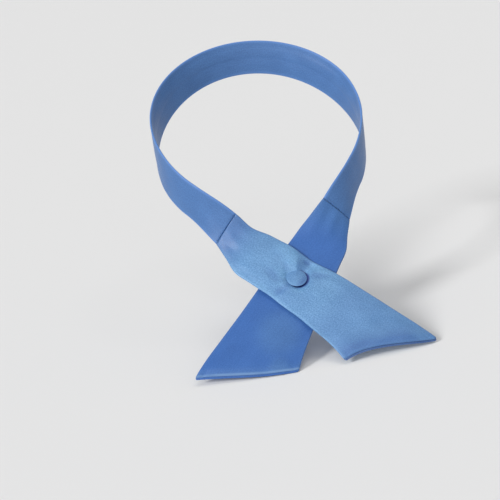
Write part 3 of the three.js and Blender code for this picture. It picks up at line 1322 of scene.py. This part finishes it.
REAR_BLADE = Blade(
    name="rear_blade_satin",
    node="rear_blade",
    slot="satin_rear",
    strap=Strap.WEARER_LEFT,
    rows=(
        SectionRow(-54.0, 10.5, -54.0, 10.5),
        SectionRow(-43.0, 12.5, -43.0, 12.4),
        SectionRow(-33.0, 15.2, -33.0, 15.1),
        SectionRow(-22.0, 17.35, -22.0, 15.4),
        SectionRow(-8.0, 18.2, -8.0, 16.1),
        SectionRow(8.0, 19.95, 7.0, 16.8),
        SectionRow(28.0, 22.4, 21.0, 17.6),
        SectionRow(47.0, 25.3, 32.0, 18.3),
        SectionRow(63.0, 27.7, 40.0, 19.1),
        SectionRow(73.9, 28.5, 46.6, 19.9),
    ),
    # Patches of painted highlight with a little height.
    puckers=(
        Pucker(31.0, -2.0, 14.0, 12.0, 0.0, 0.3, 0.8),
        Pucker(49.5, -10.0, 5.5, 5.5, 0.0, 0.3, 0.6),
    ),
    cross_height=0.0,
    droop=5.0,
    crown=0.4,
    end_lift=0.3,
    end_bow=-1.3,
    end_skew=-1.1,
    end_curl=0.0,
    end_fall=1.3,
    # Painted highlight along the rolled cut end.
    end_painted_highlight=Bell(1.0, 0.6),
    fall_reach=5.0,
    end_painted_sheen_shade=Bell(0.6, 4.0),
    seam=EndSeam(upper_back=1.1, flange_shade=0.12),
    long_corner=1.6,
)


@dataclass(frozen=True)
class Neckband:
    """The band that runs round the neck from seam to seam, in millimetres."""

    name: str = "neckband_satin"
    width: float = 21.0
    thickness: float = 2.2
    seam_gap: float = 0.1
    soft_share: float = 0.5
    end_ease: float = 4.0
    end_steps: int = 5
    fold: Bell = Bell(1.0, 1.1)
    step: float = 0.8
    inner: int = 26

    def build(self, make: StrapMake, satin: bpy.types.Material) -> bpy.types.Object:
        """Make the band, let it stand for its solid and dress it.

        Its rings follow the strap up one side, over the nape and down the other. Both ends
        round off at the seams with the blades.

        Args:
            make: How the strap is made.
            satin: Its material.

        Returns:
            The finished piece.
        """
        start = make.loop.seam_run / MM + self.seam_gap
        length = 2.0 * (make.loop.half_run / MM - start)
        even = np.linspace(0.0, length, int(length / self.step))
        turn = np.linspace(0.0, math.pi / 2.0, self.end_steps)[:-1]
        close = make.join_radius * (1.0 - np.cos(turn))
        way = np.unique(np.concatenate([close, even, length - close]))
        width = np.full(len(way), self.width)
        stations = make.stations(width, self.inner)
        piece = strap_piece(self.name, partial(self.face_at, make, way), width, stations)
        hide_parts("neckband")
        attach(piece, "root")
        dress(piece, satin)
        return piece

    def face_at(self, make: StrapMake, way: Array, station: Array, face: Face) -> ClothGrid:
        """Work out one face of the band.

        Args:
            make: How the strap is made.
            way: Places along the band from its first seam to its last.
            station: Distances from the upper edge across each section.
            face: The face, of which the upper one faces out.

        Returns:
            The face's points and marks.
        """
        start, length = make.loop.seam_run / MM + self.seam_gap, way[-1]
        side = self.width / 2.0 - station
        along = np.broadcast_to(way[:, None], side.shape)
        from_end = np.minimum(along, length - along)
        from_edge = np.minimum(station, self.width - station)
        height = face.value * self.thickness / 2.0 * make.padding(from_edge) * make.joined(from_end)
        fade = smooth(from_end / self.end_ease) * make.rim(from_edge)
        if face is Face.UPPER:
            height = height + self.soft_share * wave_height(SOFT_WAVES, along, side) * fade
        if face is Face.LOWER:
            height = height - make.lap(along, side) * fade
        first = along <= length / 2.0
        run = np.where(first, start + along, start + length - along)
        half = np.full(side.shape, self.width / 2.0)
        right, left = (
            make.loop.points(strap, run * MM, side * MM, half * MM, height * MM) for strap in Strap
        )
        points, none = np.where(first[..., None], right, left), np.zeros(side.shape)
        return ClothGrid(points, along, station, self.fold.at(from_edge), none, none + 1.0)


@dataclass(frozen=True)
class JoinStitches:
    """Rows of small stitches over the seam between a blade and the neckband."""

    name: str
    slot: str
    strap: Strap
    count: int = 9
    length: float = 2.4
    thread: float = 0.14
    end_thread: float = 0.3
    rise: float = 0.24
    sink: float = 0.16
    shift: float = 0.15
    spread: float = 17.0
    path_steps: int = 11
    ring_steps: int = 8

    def build(self, make: StrapMake, satin: bpy.types.Material) -> bpy.types.Object:
        """Make one row of stitches on each face, and dress them.

        A stitch is a round thread carried along a low arc across the seam. Its height
        follows the sine of its way, so both ends sink into the cloth.

        Args:
            make: How the strap is made.
            satin: Their material.

        Returns:
            The finished piece.
        """
        sides = np.linspace(-self.spread / 2.0, self.spread / 2.0, self.count)
        way = np.linspace(-0.5, 0.5, self.path_steps)
        turn = np.arange(self.ring_steps) * 2.0 * math.pi / self.ring_steps
        face = np.array([Face.UPPER.value, Face.LOWER.value])[:, None, None, None]
        arc = make.thickness / 2.0 + self.rise * np.cos(math.pi * way) - self.sink
        thread = np.full((self.path_steps, 1), self.thread)
        thread[[0, -1]] *= self.end_thread
        run = make.loop.seam_run / MM + self.shift + (self.length * way)[:, None]
        side = sides[:, None, None] + thread * np.cos(turn)
        height = face * (arc[:, None] + thread * np.sin(turn))
        run, side, height = np.broadcast_arrays(run, side, height)
        half = np.full(run.shape, make.loop.band_width / 2.0)
        points = make.loop.points(self.strap, run * MM, side * MM, half, height * MM)
        fan = np.arange(1, self.ring_steps - 1)
        cap = np.stack([np.zeros_like(fan), fan + 1, fan], axis=-1)
        caps = np.concatenate([cap, cap[:, ::-1] + (self.path_steps - 1) * self.ring_steps])
        one = ring_quads(self.path_steps, self.ring_steps)
        number = np.arange(2 * self.count)[:, None, None]
        quads, triangles = (
            np.where(number < self.count, part, part[:, ::-1]) + number * self.path_steps * self.ring_steps
            for part in (one, caps)
        )
        quads, triangles = quads.reshape(-1, 4), triangles.reshape(-1, 3)
        uv = np.stack([run.ravel(), side.ravel()], axis=-1) * MM
        faces = MeshArrays(quads, uv[quads], triangles, uv[triangles])
        marks = {"fold": np.zeros(len(uv)), "seam": np.zeros(len(uv)), "turned": np.ones(len(uv))}
        piece = new_piece(self.name, points.reshape(-1, 3), faces, marks)
        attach(piece, "root")
        dress(piece, satin)
        return piece


class NodeSketch:
    """A short way to lay out nodes in a material or a group."""

    def __init__(self, tree: bpy.types.NodeTree) -> None:
        """Start in an empty tree."""
        self.tree = tree
        self.tree.nodes.clear()

    def feed(self, node: bpy.types.Node, inputs: Inputs) -> None:
        """Link a node's inputs to outputs, or set their values.

        Args:
            node: The node.
            inputs: An output or a value for each input, by name or number.
        """
        for label, value in inputs.items():
            if isinstance(value, bpy.types.NodeSocket):
                self.tree.links.new(value, node.inputs[label])
            else:
                node.inputs[label].default_value = value

    def add(self, kind: str, inputs: Inputs, **settings: object) -> bpy.types.Node:
        """Add a node.

        Args:
            kind: Type of the node.
            inputs: An output or a value for each input, by name or number.
            settings: Values of its properties, by name.

        Returns:
            The new node.
        """
        node = self.tree.nodes.new(kind)
        for key, value in settings.items():
            setattr(node, key, value)
        self.feed(node, inputs)
        return node

    def math(self, operation: str, *values: object) -> bpy.types.NodeSocket:
        """Add a Math node and return its result."""
        return self.add("ShaderNodeMath", dict(enumerate(values)), operation=operation).outputs[0]

    def mix(self, factor: object, first: object, second: object) -> bpy.types.NodeSocket:
        """Mix two colours and return the result."""
        inputs = {"Factor": factor, 6: first, 7: second}
        return self.add("ShaderNodeMix", inputs, data_type="RGBA").outputs[2]

    def in_mm(self, place: bpy.types.NodeSocket, scale: float) -> bpy.types.NodeSocket:
        """Scale a place to millimetres and return the result."""
        return self.add("ShaderNodeVectorMath", {0: place, "Scale": scale}, operation="SCALE").outputs[0]

    def finish(self, inputs: Inputs) -> None:
        """Add a material's shader and its output."""
        shader = self.add("ShaderNodeBsdfPrincipled", inputs)
        self.add("ShaderNodeOutputMaterial", {"Surface": shader.outputs[0]})


class SocketKind(Enum):
    """Kinds of socket that the node groups have."""

    NUMBER = "NodeSocketFloat"
    VECTOR = "NodeSocketVector"
    COLOUR = "NodeSocketColor"


GroupParts = tuple[NodeSketch, bpy.types.NodeOutputs, bpy.types.Node]


def new_group(name: str, inputs: dict[str, SocketKind], outputs: dict[str, SocketKind]) -> GroupParts:
    """Make an empty node group with named sockets.

    Args:
        name: Name of the group.
        inputs: Kind of each input, by name.
        outputs: Kind of each output, by name.

    Returns:
        The sketch, what the group takes in, and its output node.
    """
    tree = bpy.data.node_groups.new(name, "ShaderNodeTree")
    for way, sockets in (("INPUT", inputs), ("OUTPUT", outputs)):
        for label, kind in sockets.items():
            tree.interface.new_socket(name=label, in_out=way, socket_type=kind.value)
    sketch = NodeSketch(tree)
    return sketch, sketch.add("NodeGroupInput", {}).outputs, sketch.add("NodeGroupOutput", {})


# In a five-end satin a long thread is bound down once in five cross threads, and from one
# long thread to the next the binding moves on by two of them.
SATIN_ENDS = 5.0
SATIN_STEP = 2.0
# Share of a ridge that is left out where a thread is bound down.
BIND_DEPTH = 0.8
# Slubs are drawn out along the threads, and clouds are broad.
SLUB_SCALE = (0.12, 1.5, 1.0)
CLOUD_SCALE = 0.07


def satin_weave_group() -> bpy.types.NodeTree:
    """Build the weave of a five-end satin.

    Threads are counted across and along the cloth. Where twice the count across plus the
    count along leaves no rest by five, a cross thread binds the long one down: there the
    height sinks and the tone darkens. Between bindings each long thread is a round ridge.

    Returns:
        The node group.
    """
    sketch, source, result = new_group(
        "satin_weave",
        {"Vector": SocketKind.VECTOR, "Threads": SocketKind.NUMBER},
        {"Height": SocketKind.NUMBER, "Tone": SocketKind.NUMBER},
    )
    split = sketch.add("ShaderNodeSeparateXYZ", {0: source["Vector"]})
    along, across = (sketch.math("MULTIPLY", split.outputs[axis], source["Threads"]) for axis in (0, 1))
    along_count, across_count = sketch.math("FLOOR", along), sketch.math("FLOOR", across)
    sum_count = sketch.math("MULTIPLY_ADD", across_count, SATIN_STEP, along_count)
    bound = sketch.math("LESS_THAN", sketch.math("FLOORED_MODULO", sum_count, SATIN_ENDS), 0.5)
    bump, sink = (
        sketch.math("SINE", sketch.math("MULTIPLY", sketch.math("PINGPONG", count, 0.5), math.pi))
        for count in (across, along)
    )
    lowered = sketch.math("MULTIPLY", bound, sink)
    height = sketch.math("SUBTRACT", bump, sketch.math("MULTIPLY", lowered, BIND_DEPTH))
    sketch.feed(result, {"Height": height, "Tone": lowered})
    return sketch.tree


def cloth_mottle_group() -> bpy.types.NodeTree:
    """Build the uneven tone of cloth: fine specks, slubs drawn out along the threads and
    broad clouds, each a noise about nought, and their sum.

    Returns:
        The node group.
    """
    sketch, source, result = new_group(
        "cloth_mottle",
        {"Vector": SocketKind.VECTOR}
        | dict.fromkeys(("Speck Size", "Speck", "Slub", "Cloud"), SocketKind.NUMBER),
        dict.fromkeys(("Tone", "Speck Height"), SocketKind.NUMBER),
    )
    vector = source["Vector"]
    drawn = sketch.add("ShaderNodeMapping", {"Vector": vector, "Scale": SLUB_SCALE})
    fine = sketch.math("DIVIDE", 1.0, source["Speck Size"])
    layers = {
        "Speck": (vector, fine, 2.0),
        "Slub": (drawn.outputs[0], 1.0, 1.0),
        "Cloud": (vector, CLOUD_SCALE, 1.0),
    }
    total, centred = 0.0, {}
    for label, (place, scale, detail) in layers.items():
        inputs = {"Vector": place, "Scale": scale, "Detail": detail}
        noise = sketch.add("ShaderNodeTexNoise", inputs, noise_dimensions="2D")
        centred[label] = sketch.math("SUBTRACT", noise.outputs["Fac"], 0.5)
        total = sketch.math("MULTIPLY_ADD", centred[label], source[label], total)
    sketch.feed(result, {"Tone": total, "Speck Height": centred["Speck"]})
    return sketch.tree


def fold_tone_group() -> bpy.types.NodeTree:
    """Build the painted highlight and shade: a folded edge takes the lighter colour of rubbing and painted
    highlight by its mark, and the seam mark takes the painted shade colour.

    Returns:
        The node group.
    """
    sketch, source, result = new_group(
        "fold_tone",
        dict.fromkeys(("Color", "WearAndHighlight", "PaintedShade"), SocketKind.COLOUR)
        | dict.fromkeys(("Fold", "Seam", "WearAndHighlightStrength"), SocketKind.NUMBER),
        {"Color": SocketKind.COLOUR},
    )
    wear_and_highlight = sketch.math("MULTIPLY", source["Fold"], source["WearAndHighlightStrength"])
    edged = sketch.mix(wear_and_highlight, source["Color"], source["WearAndHighlight"])
    sketch.feed(result, {"Color": sketch.mix(source["Seam"], edged, source["PaintedShade"])})
    return sketch.tree


def new_material(name: str) -> tuple[bpy.types.Material, NodeSketch]:
    """Make a material with an empty tree.

    Args:
        name: Name of the material.

    Returns:
        The material and a sketch of its tree.
    """
    material = bpy.data.materials.new(name)
    material.use_nodes = True
    return material, NodeSketch(material.node_tree)


class Grain(NamedTuple):
    """Unevenness of a finish: the size of its specks, and the strength of each layer."""

    speck_size: float = 0.75
    speck: float = 1.3
    slub: float = 0.45
    cloud: float = 0.5

    def add_to(self, sketch: NodeSketch, groups: Groups, place: bpy.types.NodeSocket) -> bpy.types.Node:
        """Add the shared mottle to a material.

        Args:
            sketch: Sketch of the material's tree.
            groups: The node groups, by name.
            place: Places in millimetres.

        Returns:
            The mottle's node.
        """
        strengths = {"Speck": self.speck, "Slub": self.slub, "Cloud": self.cloud}
        inputs = {"Vector": place, "Speck Size": self.speck_size} | strengths
        return sketch.add("ShaderNodeGroup", inputs, node_tree=groups["cloth_mottle"])


# The band's own colours. The painted sheen and shade mark moves the blades towards them: painted shade on
# the front blade, painted highlight on the rear one.
BAND_LIGHT: Colour = (0.0748, 0.186, 0.4288, 1.0)
BAND_DARK: Colour = (0.0463, 0.126, 0.3162, 1.0)


@dataclass(frozen=True)
class SatinFinish:
    """One satin, by its colours and the strength of each of its effects."""

    name: str
    light: Colour
    dark: Colour
    painted_shade_colour: Colour
    wear_and_highlight: Colour
    # Colours that the painted sheen and shade mark moves towards.
    painted_sheen_shade_light: Colour = BAND_LIGHT
    painted_sheen_shade_dark: Colour = BAND_DARK
    roughness: float = 0.46
    sheen: float = 0.12
    specular: float = 0.5
    threads: float = 3.2
    grain: Grain = Grain()
    wear_and_highlight_strength: float = 1.0
    weave_tone: float = -0.35
    speck_height: float = 1.2
    bump_strength: float = 0.5
    bump_distance: float = 0.00004
    sheen_roughness: float = 0.4
    uneven_roughness: float = 0.12

    def material(self, groups: Groups) -> bpy.types.Material:
        """Make the satin's material from the shared groups.

        Args:
            groups: The node groups, by name.

        Returns:
            The material.
        """
        material, sketch = new_material(self.name)
        place = sketch.in_mm(sketch.add("ShaderNodeUVMap", {}, uv_map="cloth").outputs[0], UV_SPAN / MM)
        weave = sketch.add(
            "ShaderNodeGroup", {"Vector": place, "Threads": self.threads}, node_tree=groups["satin_weave"]
        ).outputs
        mottle = self.grain.add_to(sketch, groups, place).outputs
        # The turned mark is painted sheen and shade, seam is painted shade and shadow, fold is rubbing and
        # painted highlight.
        turned, fold, seam = (
            sketch.add("ShaderNodeAttribute", {}, attribute_name=mark).outputs["Fac"]
            for mark in ("turned", "fold", "seam")
        )
        tone = sketch.math("ADD", mottle["Tone"], 0.5)
        tone = sketch.math("MULTIPLY_ADD", weave["Tone"], self.weave_tone, tone)
        flat_body = sketch.mix(tone, self.dark, self.light)
        # Painted sheen and shade: the turned mark moves the colour towards the band's colours.
        painted_sheen_shade_body = sketch.mix(tone, self.painted_sheen_shade_dark, self.painted_sheen_shade_light)
        body = sketch.mix(turned, flat_body, painted_sheen_shade_body)
        # Folded edges take the colour of rubbing and painted highlight; the seam mark takes the painted
        # shade colour.
        marks = {"Color": body, "WearAndHighlight": self.wear_and_highlight, "PaintedShade": self.painted_shade_colour, "Fold": fold, "Seam": seam}
        edge = sketch.add("ShaderNodeGroup", marks | {"WearAndHighlightStrength": self.wear_and_highlight_strength}, node_tree=groups["fold_tone"])
        height = sketch.math("MULTIPLY_ADD", mottle["Speck Height"], self.speck_height, weave["Height"])
        relief = {"Strength": self.bump_strength, "Distance": self.bump_distance, "Height": height}
        colours = {
            "Base Color": edge.outputs["Color"],
            "Roughness": sketch.math("MULTIPLY_ADD", mottle["Tone"], self.uneven_roughness, self.roughness),
            "Normal": sketch.add("ShaderNodeBump", relief).outputs[0],
            "Sheen Weight": self.sheen,
            "Sheen Roughness": self.sheen_roughness,
            "Specular IOR Level": self.specular,
        }
        sketch.finish(colours)
        return material


@dataclass(frozen=True)
class MetalFinish:
    """Plain nickel with a fine uneven polish."""

    name: str = "stud_nickel"
    light: Colour = (0.66, 0.67, 0.69, 1.0)
    dark: Colour = (0.5, 0.51, 0.53, 1.0)
    roughness: float = 0.2
    uneven_roughness: float = 0.2
    grain: Grain = Grain(0.4, 0.8, 1.4, 0.3)

    def material(self, groups: Groups) -> bpy.types.Material:
        """Make the metal's material from the shared mottle.

        Args:
            groups: The node groups, by name.

        Returns:
            The material.
        """
        material, sketch = new_material(self.name)
        place = sketch.in_mm(sketch.add("ShaderNodeTexCoord", {}).outputs["Object"], 1.0 / MM)
        mottle = self.grain.add_to(sketch, groups, place).outputs
        tone = sketch.math("ADD", mottle["Tone"], 0.5)
        inputs = {
            "Base Color": sketch.mix(tone, self.dark, self.light),
            "Roughness": sketch.math("MULTIPLY_ADD", tone, self.uneven_roughness, self.roughness),
            "Metallic": 1.0,
        }
        sketch.finish(inputs)
        return material


# The front blade's light blue is the satin's sheen painted into its colour; the rear blade's royal blue is
# the same satin without it. Its lighter colour on folded edges is rubbing and painted highlight.
FRONT_SATIN = SatinFinish(
    name="satin_blue_painted_sheen",
    light=(0.194, 0.4, 0.657, 1.0),
    dark=(0.0818, 0.215, 0.422, 1.0),
    painted_shade_colour=(0.012, 0.028, 0.17, 1.0),
    wear_and_highlight=(0.16, 0.34, 0.6, 1.0),
    roughness=0.4,
    grain=Grain(speck=1.8),
)
# Its lighter colour is a painted highlight along the rolled cut end, and rubbing and painted highlight on
# folded edges.
REAR_SATIN = SatinFinish(
    name="satin_royal_blue",
    light=(0.0502, 0.1465, 0.421, 1.0),
    dark=(0.0319, 0.1052, 0.328, 1.0),
    painted_shade_colour=(0.015, 0.035, 0.16, 1.0),
    wear_and_highlight=(0.15, 0.27, 0.49, 1.0),
    specular=0.25,
    grain=Grain(speck=1.6),
)
BAND_SATIN = SatinFinish(
    name="satin_mid_blue",
    light=BAND_LIGHT,
    dark=BAND_DARK,
    painted_shade_colour=(0.012, 0.04, 0.14, 1.0),
    wear_and_highlight=(0.09, 0.21, 0.5, 1.0),
    specular=0.4,
    grain=Grain(speck=1.6),
)


def put(name: str, data: bpy.types.ID, axes: tuple[Array, ...], place: Array) -> bpy.types.Object:
    """Put a camera or a lamp into the scene.

    Args:
        name: Name of the object.
        data: The camera or the lamp.
        axes: Its own three directions.
        place: Where it stands.

    Returns:
        The new object.
    """
    turned = np.eye(4)
    turned[:3] = np.column_stack([*axes, place])
    item = bpy.data.objects.new(name, data)
    item.matrix_world = Matrix(turned.tolist())
    bpy.context.scene.collection.objects.link(item)
    return item


class ViewAxes(NamedTuple):
    """Directions of the view: to the right, up, and back to the camera."""

    right: Array
    up: Array
    back: Array


@dataclass(frozen=True)
class PhotoView:
    """The view of the tie: angles to the plane of its loop, distance and framing."""

    plane_angle: float = math.radians(58.0)
    swing: float = math.radians(12.3)
    distance: float = 0.5
    focal_pixels: float = 900.0
    frame_pixels: float = 500.0
    crossing_pixel: Pair = (299.5, 283.3)
    crossing_height: float = 0.004
    sensor: float = 36.0
    clip: Pair = (0.01, 50.0)

    def axes(self, loop: NeckLoop) -> ViewAxes:
        """Work out the view's directions from its angles to the loop's plane.

        Args:
            loop: Path of the strap.

        Returns:
            The directions.
        """
        level = np.array([-math.sin(self.swing), -math.cos(self.swing), 0.0])
        back = loop.to_wearer(way_along(level, OFF_CHEST, self.plane_angle))
        up = loop.to_wearer(way_along(OFF_CHEST, -level, self.plane_angle))
        return ViewAxes(np.cross(up, back), up, back)

    def target(self, loop: NeckLoop) -> Array:
        """The middle of the crossing, in the wearer's axes."""
        return loop.to_wearer(loop.crossing + OFF_CHEST * self.crossing_height)

    def build(self, loop: NeckLoop) -> None:
        """Make the camera, and place it so that the crossing falls on its pixel.

        Args:
            loop: Path of the strap.
        """
        axes = self.axes(loop)
        middle = self.frame_pixels / 2.0
        per_pixel = self.distance / self.focal_pixels
        shift_right = (self.crossing_pixel[0] - middle) * per_pixel
        shift_up = (middle - self.crossing_pixel[1]) * per_pixel
        place = self.target(loop) + axes.back * self.distance - axes.right * shift_right - axes.up * shift_up
        data = bpy.data.cameras.new("photo_view")
        data.sensor_width = self.sensor
        data.lens = self.sensor * self.focal_pixels / self.frame_pixels
        data.clip_start, data.clip_end = self.clip
        bpy.context.scene.camera = put("photo_view", data, axes, place)


class SoftLight(NamedTuple):
    """One wide, far soft light: its direction on the view's axes, spread in degrees, power."""

    name: str
    right: float
    up: float
    back: float
    spread: float
    power: float


@dataclass(frozen=True)
class Studio:
    """Plain pale floor, pale surroundings and soft boxes round the view."""

    floor_height: float = -0.1085
    floor_reach: float = 12.0
    floor_colour: Colour = (0.787, 0.787, 0.787, 1.0)
    floor_roughness: float = 0.95
    floor_specular: float = 0.1
    surround: float = 0.46
    backdrop: float = 0.96
    lights: tuple[SoftLight, ...] = (
        SoftLight("key_light", -0.74, 0.24, 0.63, 16.0, 2.1),
        SoftLight("fill_light", -0.1, 0.12, 0.99, 50.0, 0.85),
        SoftLight("top_light", 0.1, 0.9, 0.42, 40.0, 0.5),
    )

    def build(self, loop: NeckLoop, view: PhotoView) -> None:
        """Make the floor, the surroundings and the lights.

        Args:
            loop: Path of the strap.
            view: The view that the lights stand round.
        """
        self.floor()
        self.room()
        for light in self.lights:
            self.lamp(light, view.axes(loop), view.target(loop))

    def floor(self) -> None:
        """Make the floor, a plain square in matt paint."""
        reach, height = self.floor_reach, self.floor_height
        corners = [(x * reach, y * reach, height) for x, y in ((-1, -1), (1, -1), (1, 1), (-1, 1))]
        mesh = bpy.data.meshes.new("pale_floor")
        mesh.from_pydata(corners, [], [(0, 1, 2, 3)])
        floor = bpy.data.objects.new("pale_floor", mesh)
        bpy.context.scene.collection.objects.link(floor)
        paint, sketch = new_material("pale_floor")
        matt = {"Roughness": self.floor_roughness, "Specular IOR Level": self.floor_specular}
        sketch.finish({"Base Color": self.floor_colour} | matt)
        mesh.materials.append(paint)

    def room(self) -> None:
        """Make the surroundings, which look brighter than the light that they give."""
        world = bpy.data.worlds.new("pale_room")
        world.use_nodes = True
        sketch = NodeSketch(world.node_tree)
        seen = sketch.add("ShaderNodeLightPath", {}).outputs["Is Camera Ray"]
        strength = sketch.math("MULTIPLY_ADD", seen, self.backdrop - self.surround, self.surround)
        sky = sketch.add("ShaderNodeBackground", {"Strength": strength})
        sketch.add("ShaderNodeOutputWorld", {"Surface": sky.outputs[0]})
        bpy.context.scene.world = world
        bpy.context.scene.view_settings.view_transform = "Standard"

    def lamp(self, light: SoftLight, axes: ViewAxes, target: Array) -> None:
        """Put one soft light in its direction.

        Args:
            light: The light.
            axes: Directions of the view.
            target: The place that the light faces.
        """
        way = axes.right * light.right + axes.up * light.up + axes.back * light.back
        way = way / np.linalg.norm(way)
        side = np.cross(OFF_CHEST, way)
        side = side / np.linalg.norm(side)
        data = bpy.data.lights.new(light.name, "SUN")
        data.angle = math.radians(light.spread)
        data.energy = light.power
        put(light.name, data, (side, np.cross(way, side), way), target + way)


def main() -> None:
    """Build the tie piece by piece, dress it and light it."""
    logging.basicConfig(level=logging.INFO, format="%(name)s: %(message)s")
    make, view = StrapMake(), PhotoView()
    view.build(make.loop)
    Studio().build(make.loop, view)
    groups = {
        "satin_weave": satin_weave_group(),
        "cloth_mottle": cloth_mottle_group(),
        "fold_tone": fold_tone_group(),
    }
    front_satin, rear_satin, band_satin = (
        finish.material(groups) for finish in (FRONT_SATIN, REAR_SATIN, BAND_SATIN)
    )
    front = FRONT_BLADE.build(make, front_satin)
    rear = REAR_BLADE.build(make, rear_satin)
    band = Neckband().build(make, band_satin)
    COVERED_BUTTON.build(make.loop, front_satin)
    JoinStitches("front_join_stitches", "satin_front", Strap.WEARER_RIGHT).build(make, front_satin)
    JoinStitches("rear_join_stitches", "satin_rear", Strap.WEARER_LEFT).build(make, rear_satin)
    dress(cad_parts["press_stud"], MetalFinish().material(groups))
    declare_cloth(front, rear, band)
    write_sizes()


def declare_cloth(*pieces: bpy.types.Object) -> None:
    """Log the number of faces of each strap: every strap is a satin tube over an interlining.

    Args:
        pieces: The straps.
    """
    for piece in pieces:
        log.info("%s: %d faces", piece.name, len(piece.data.polygons))


def write_sizes() -> None:
    """Bring the view layer up to date."""
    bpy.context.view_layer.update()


if __name__ == "__main__":
    main()
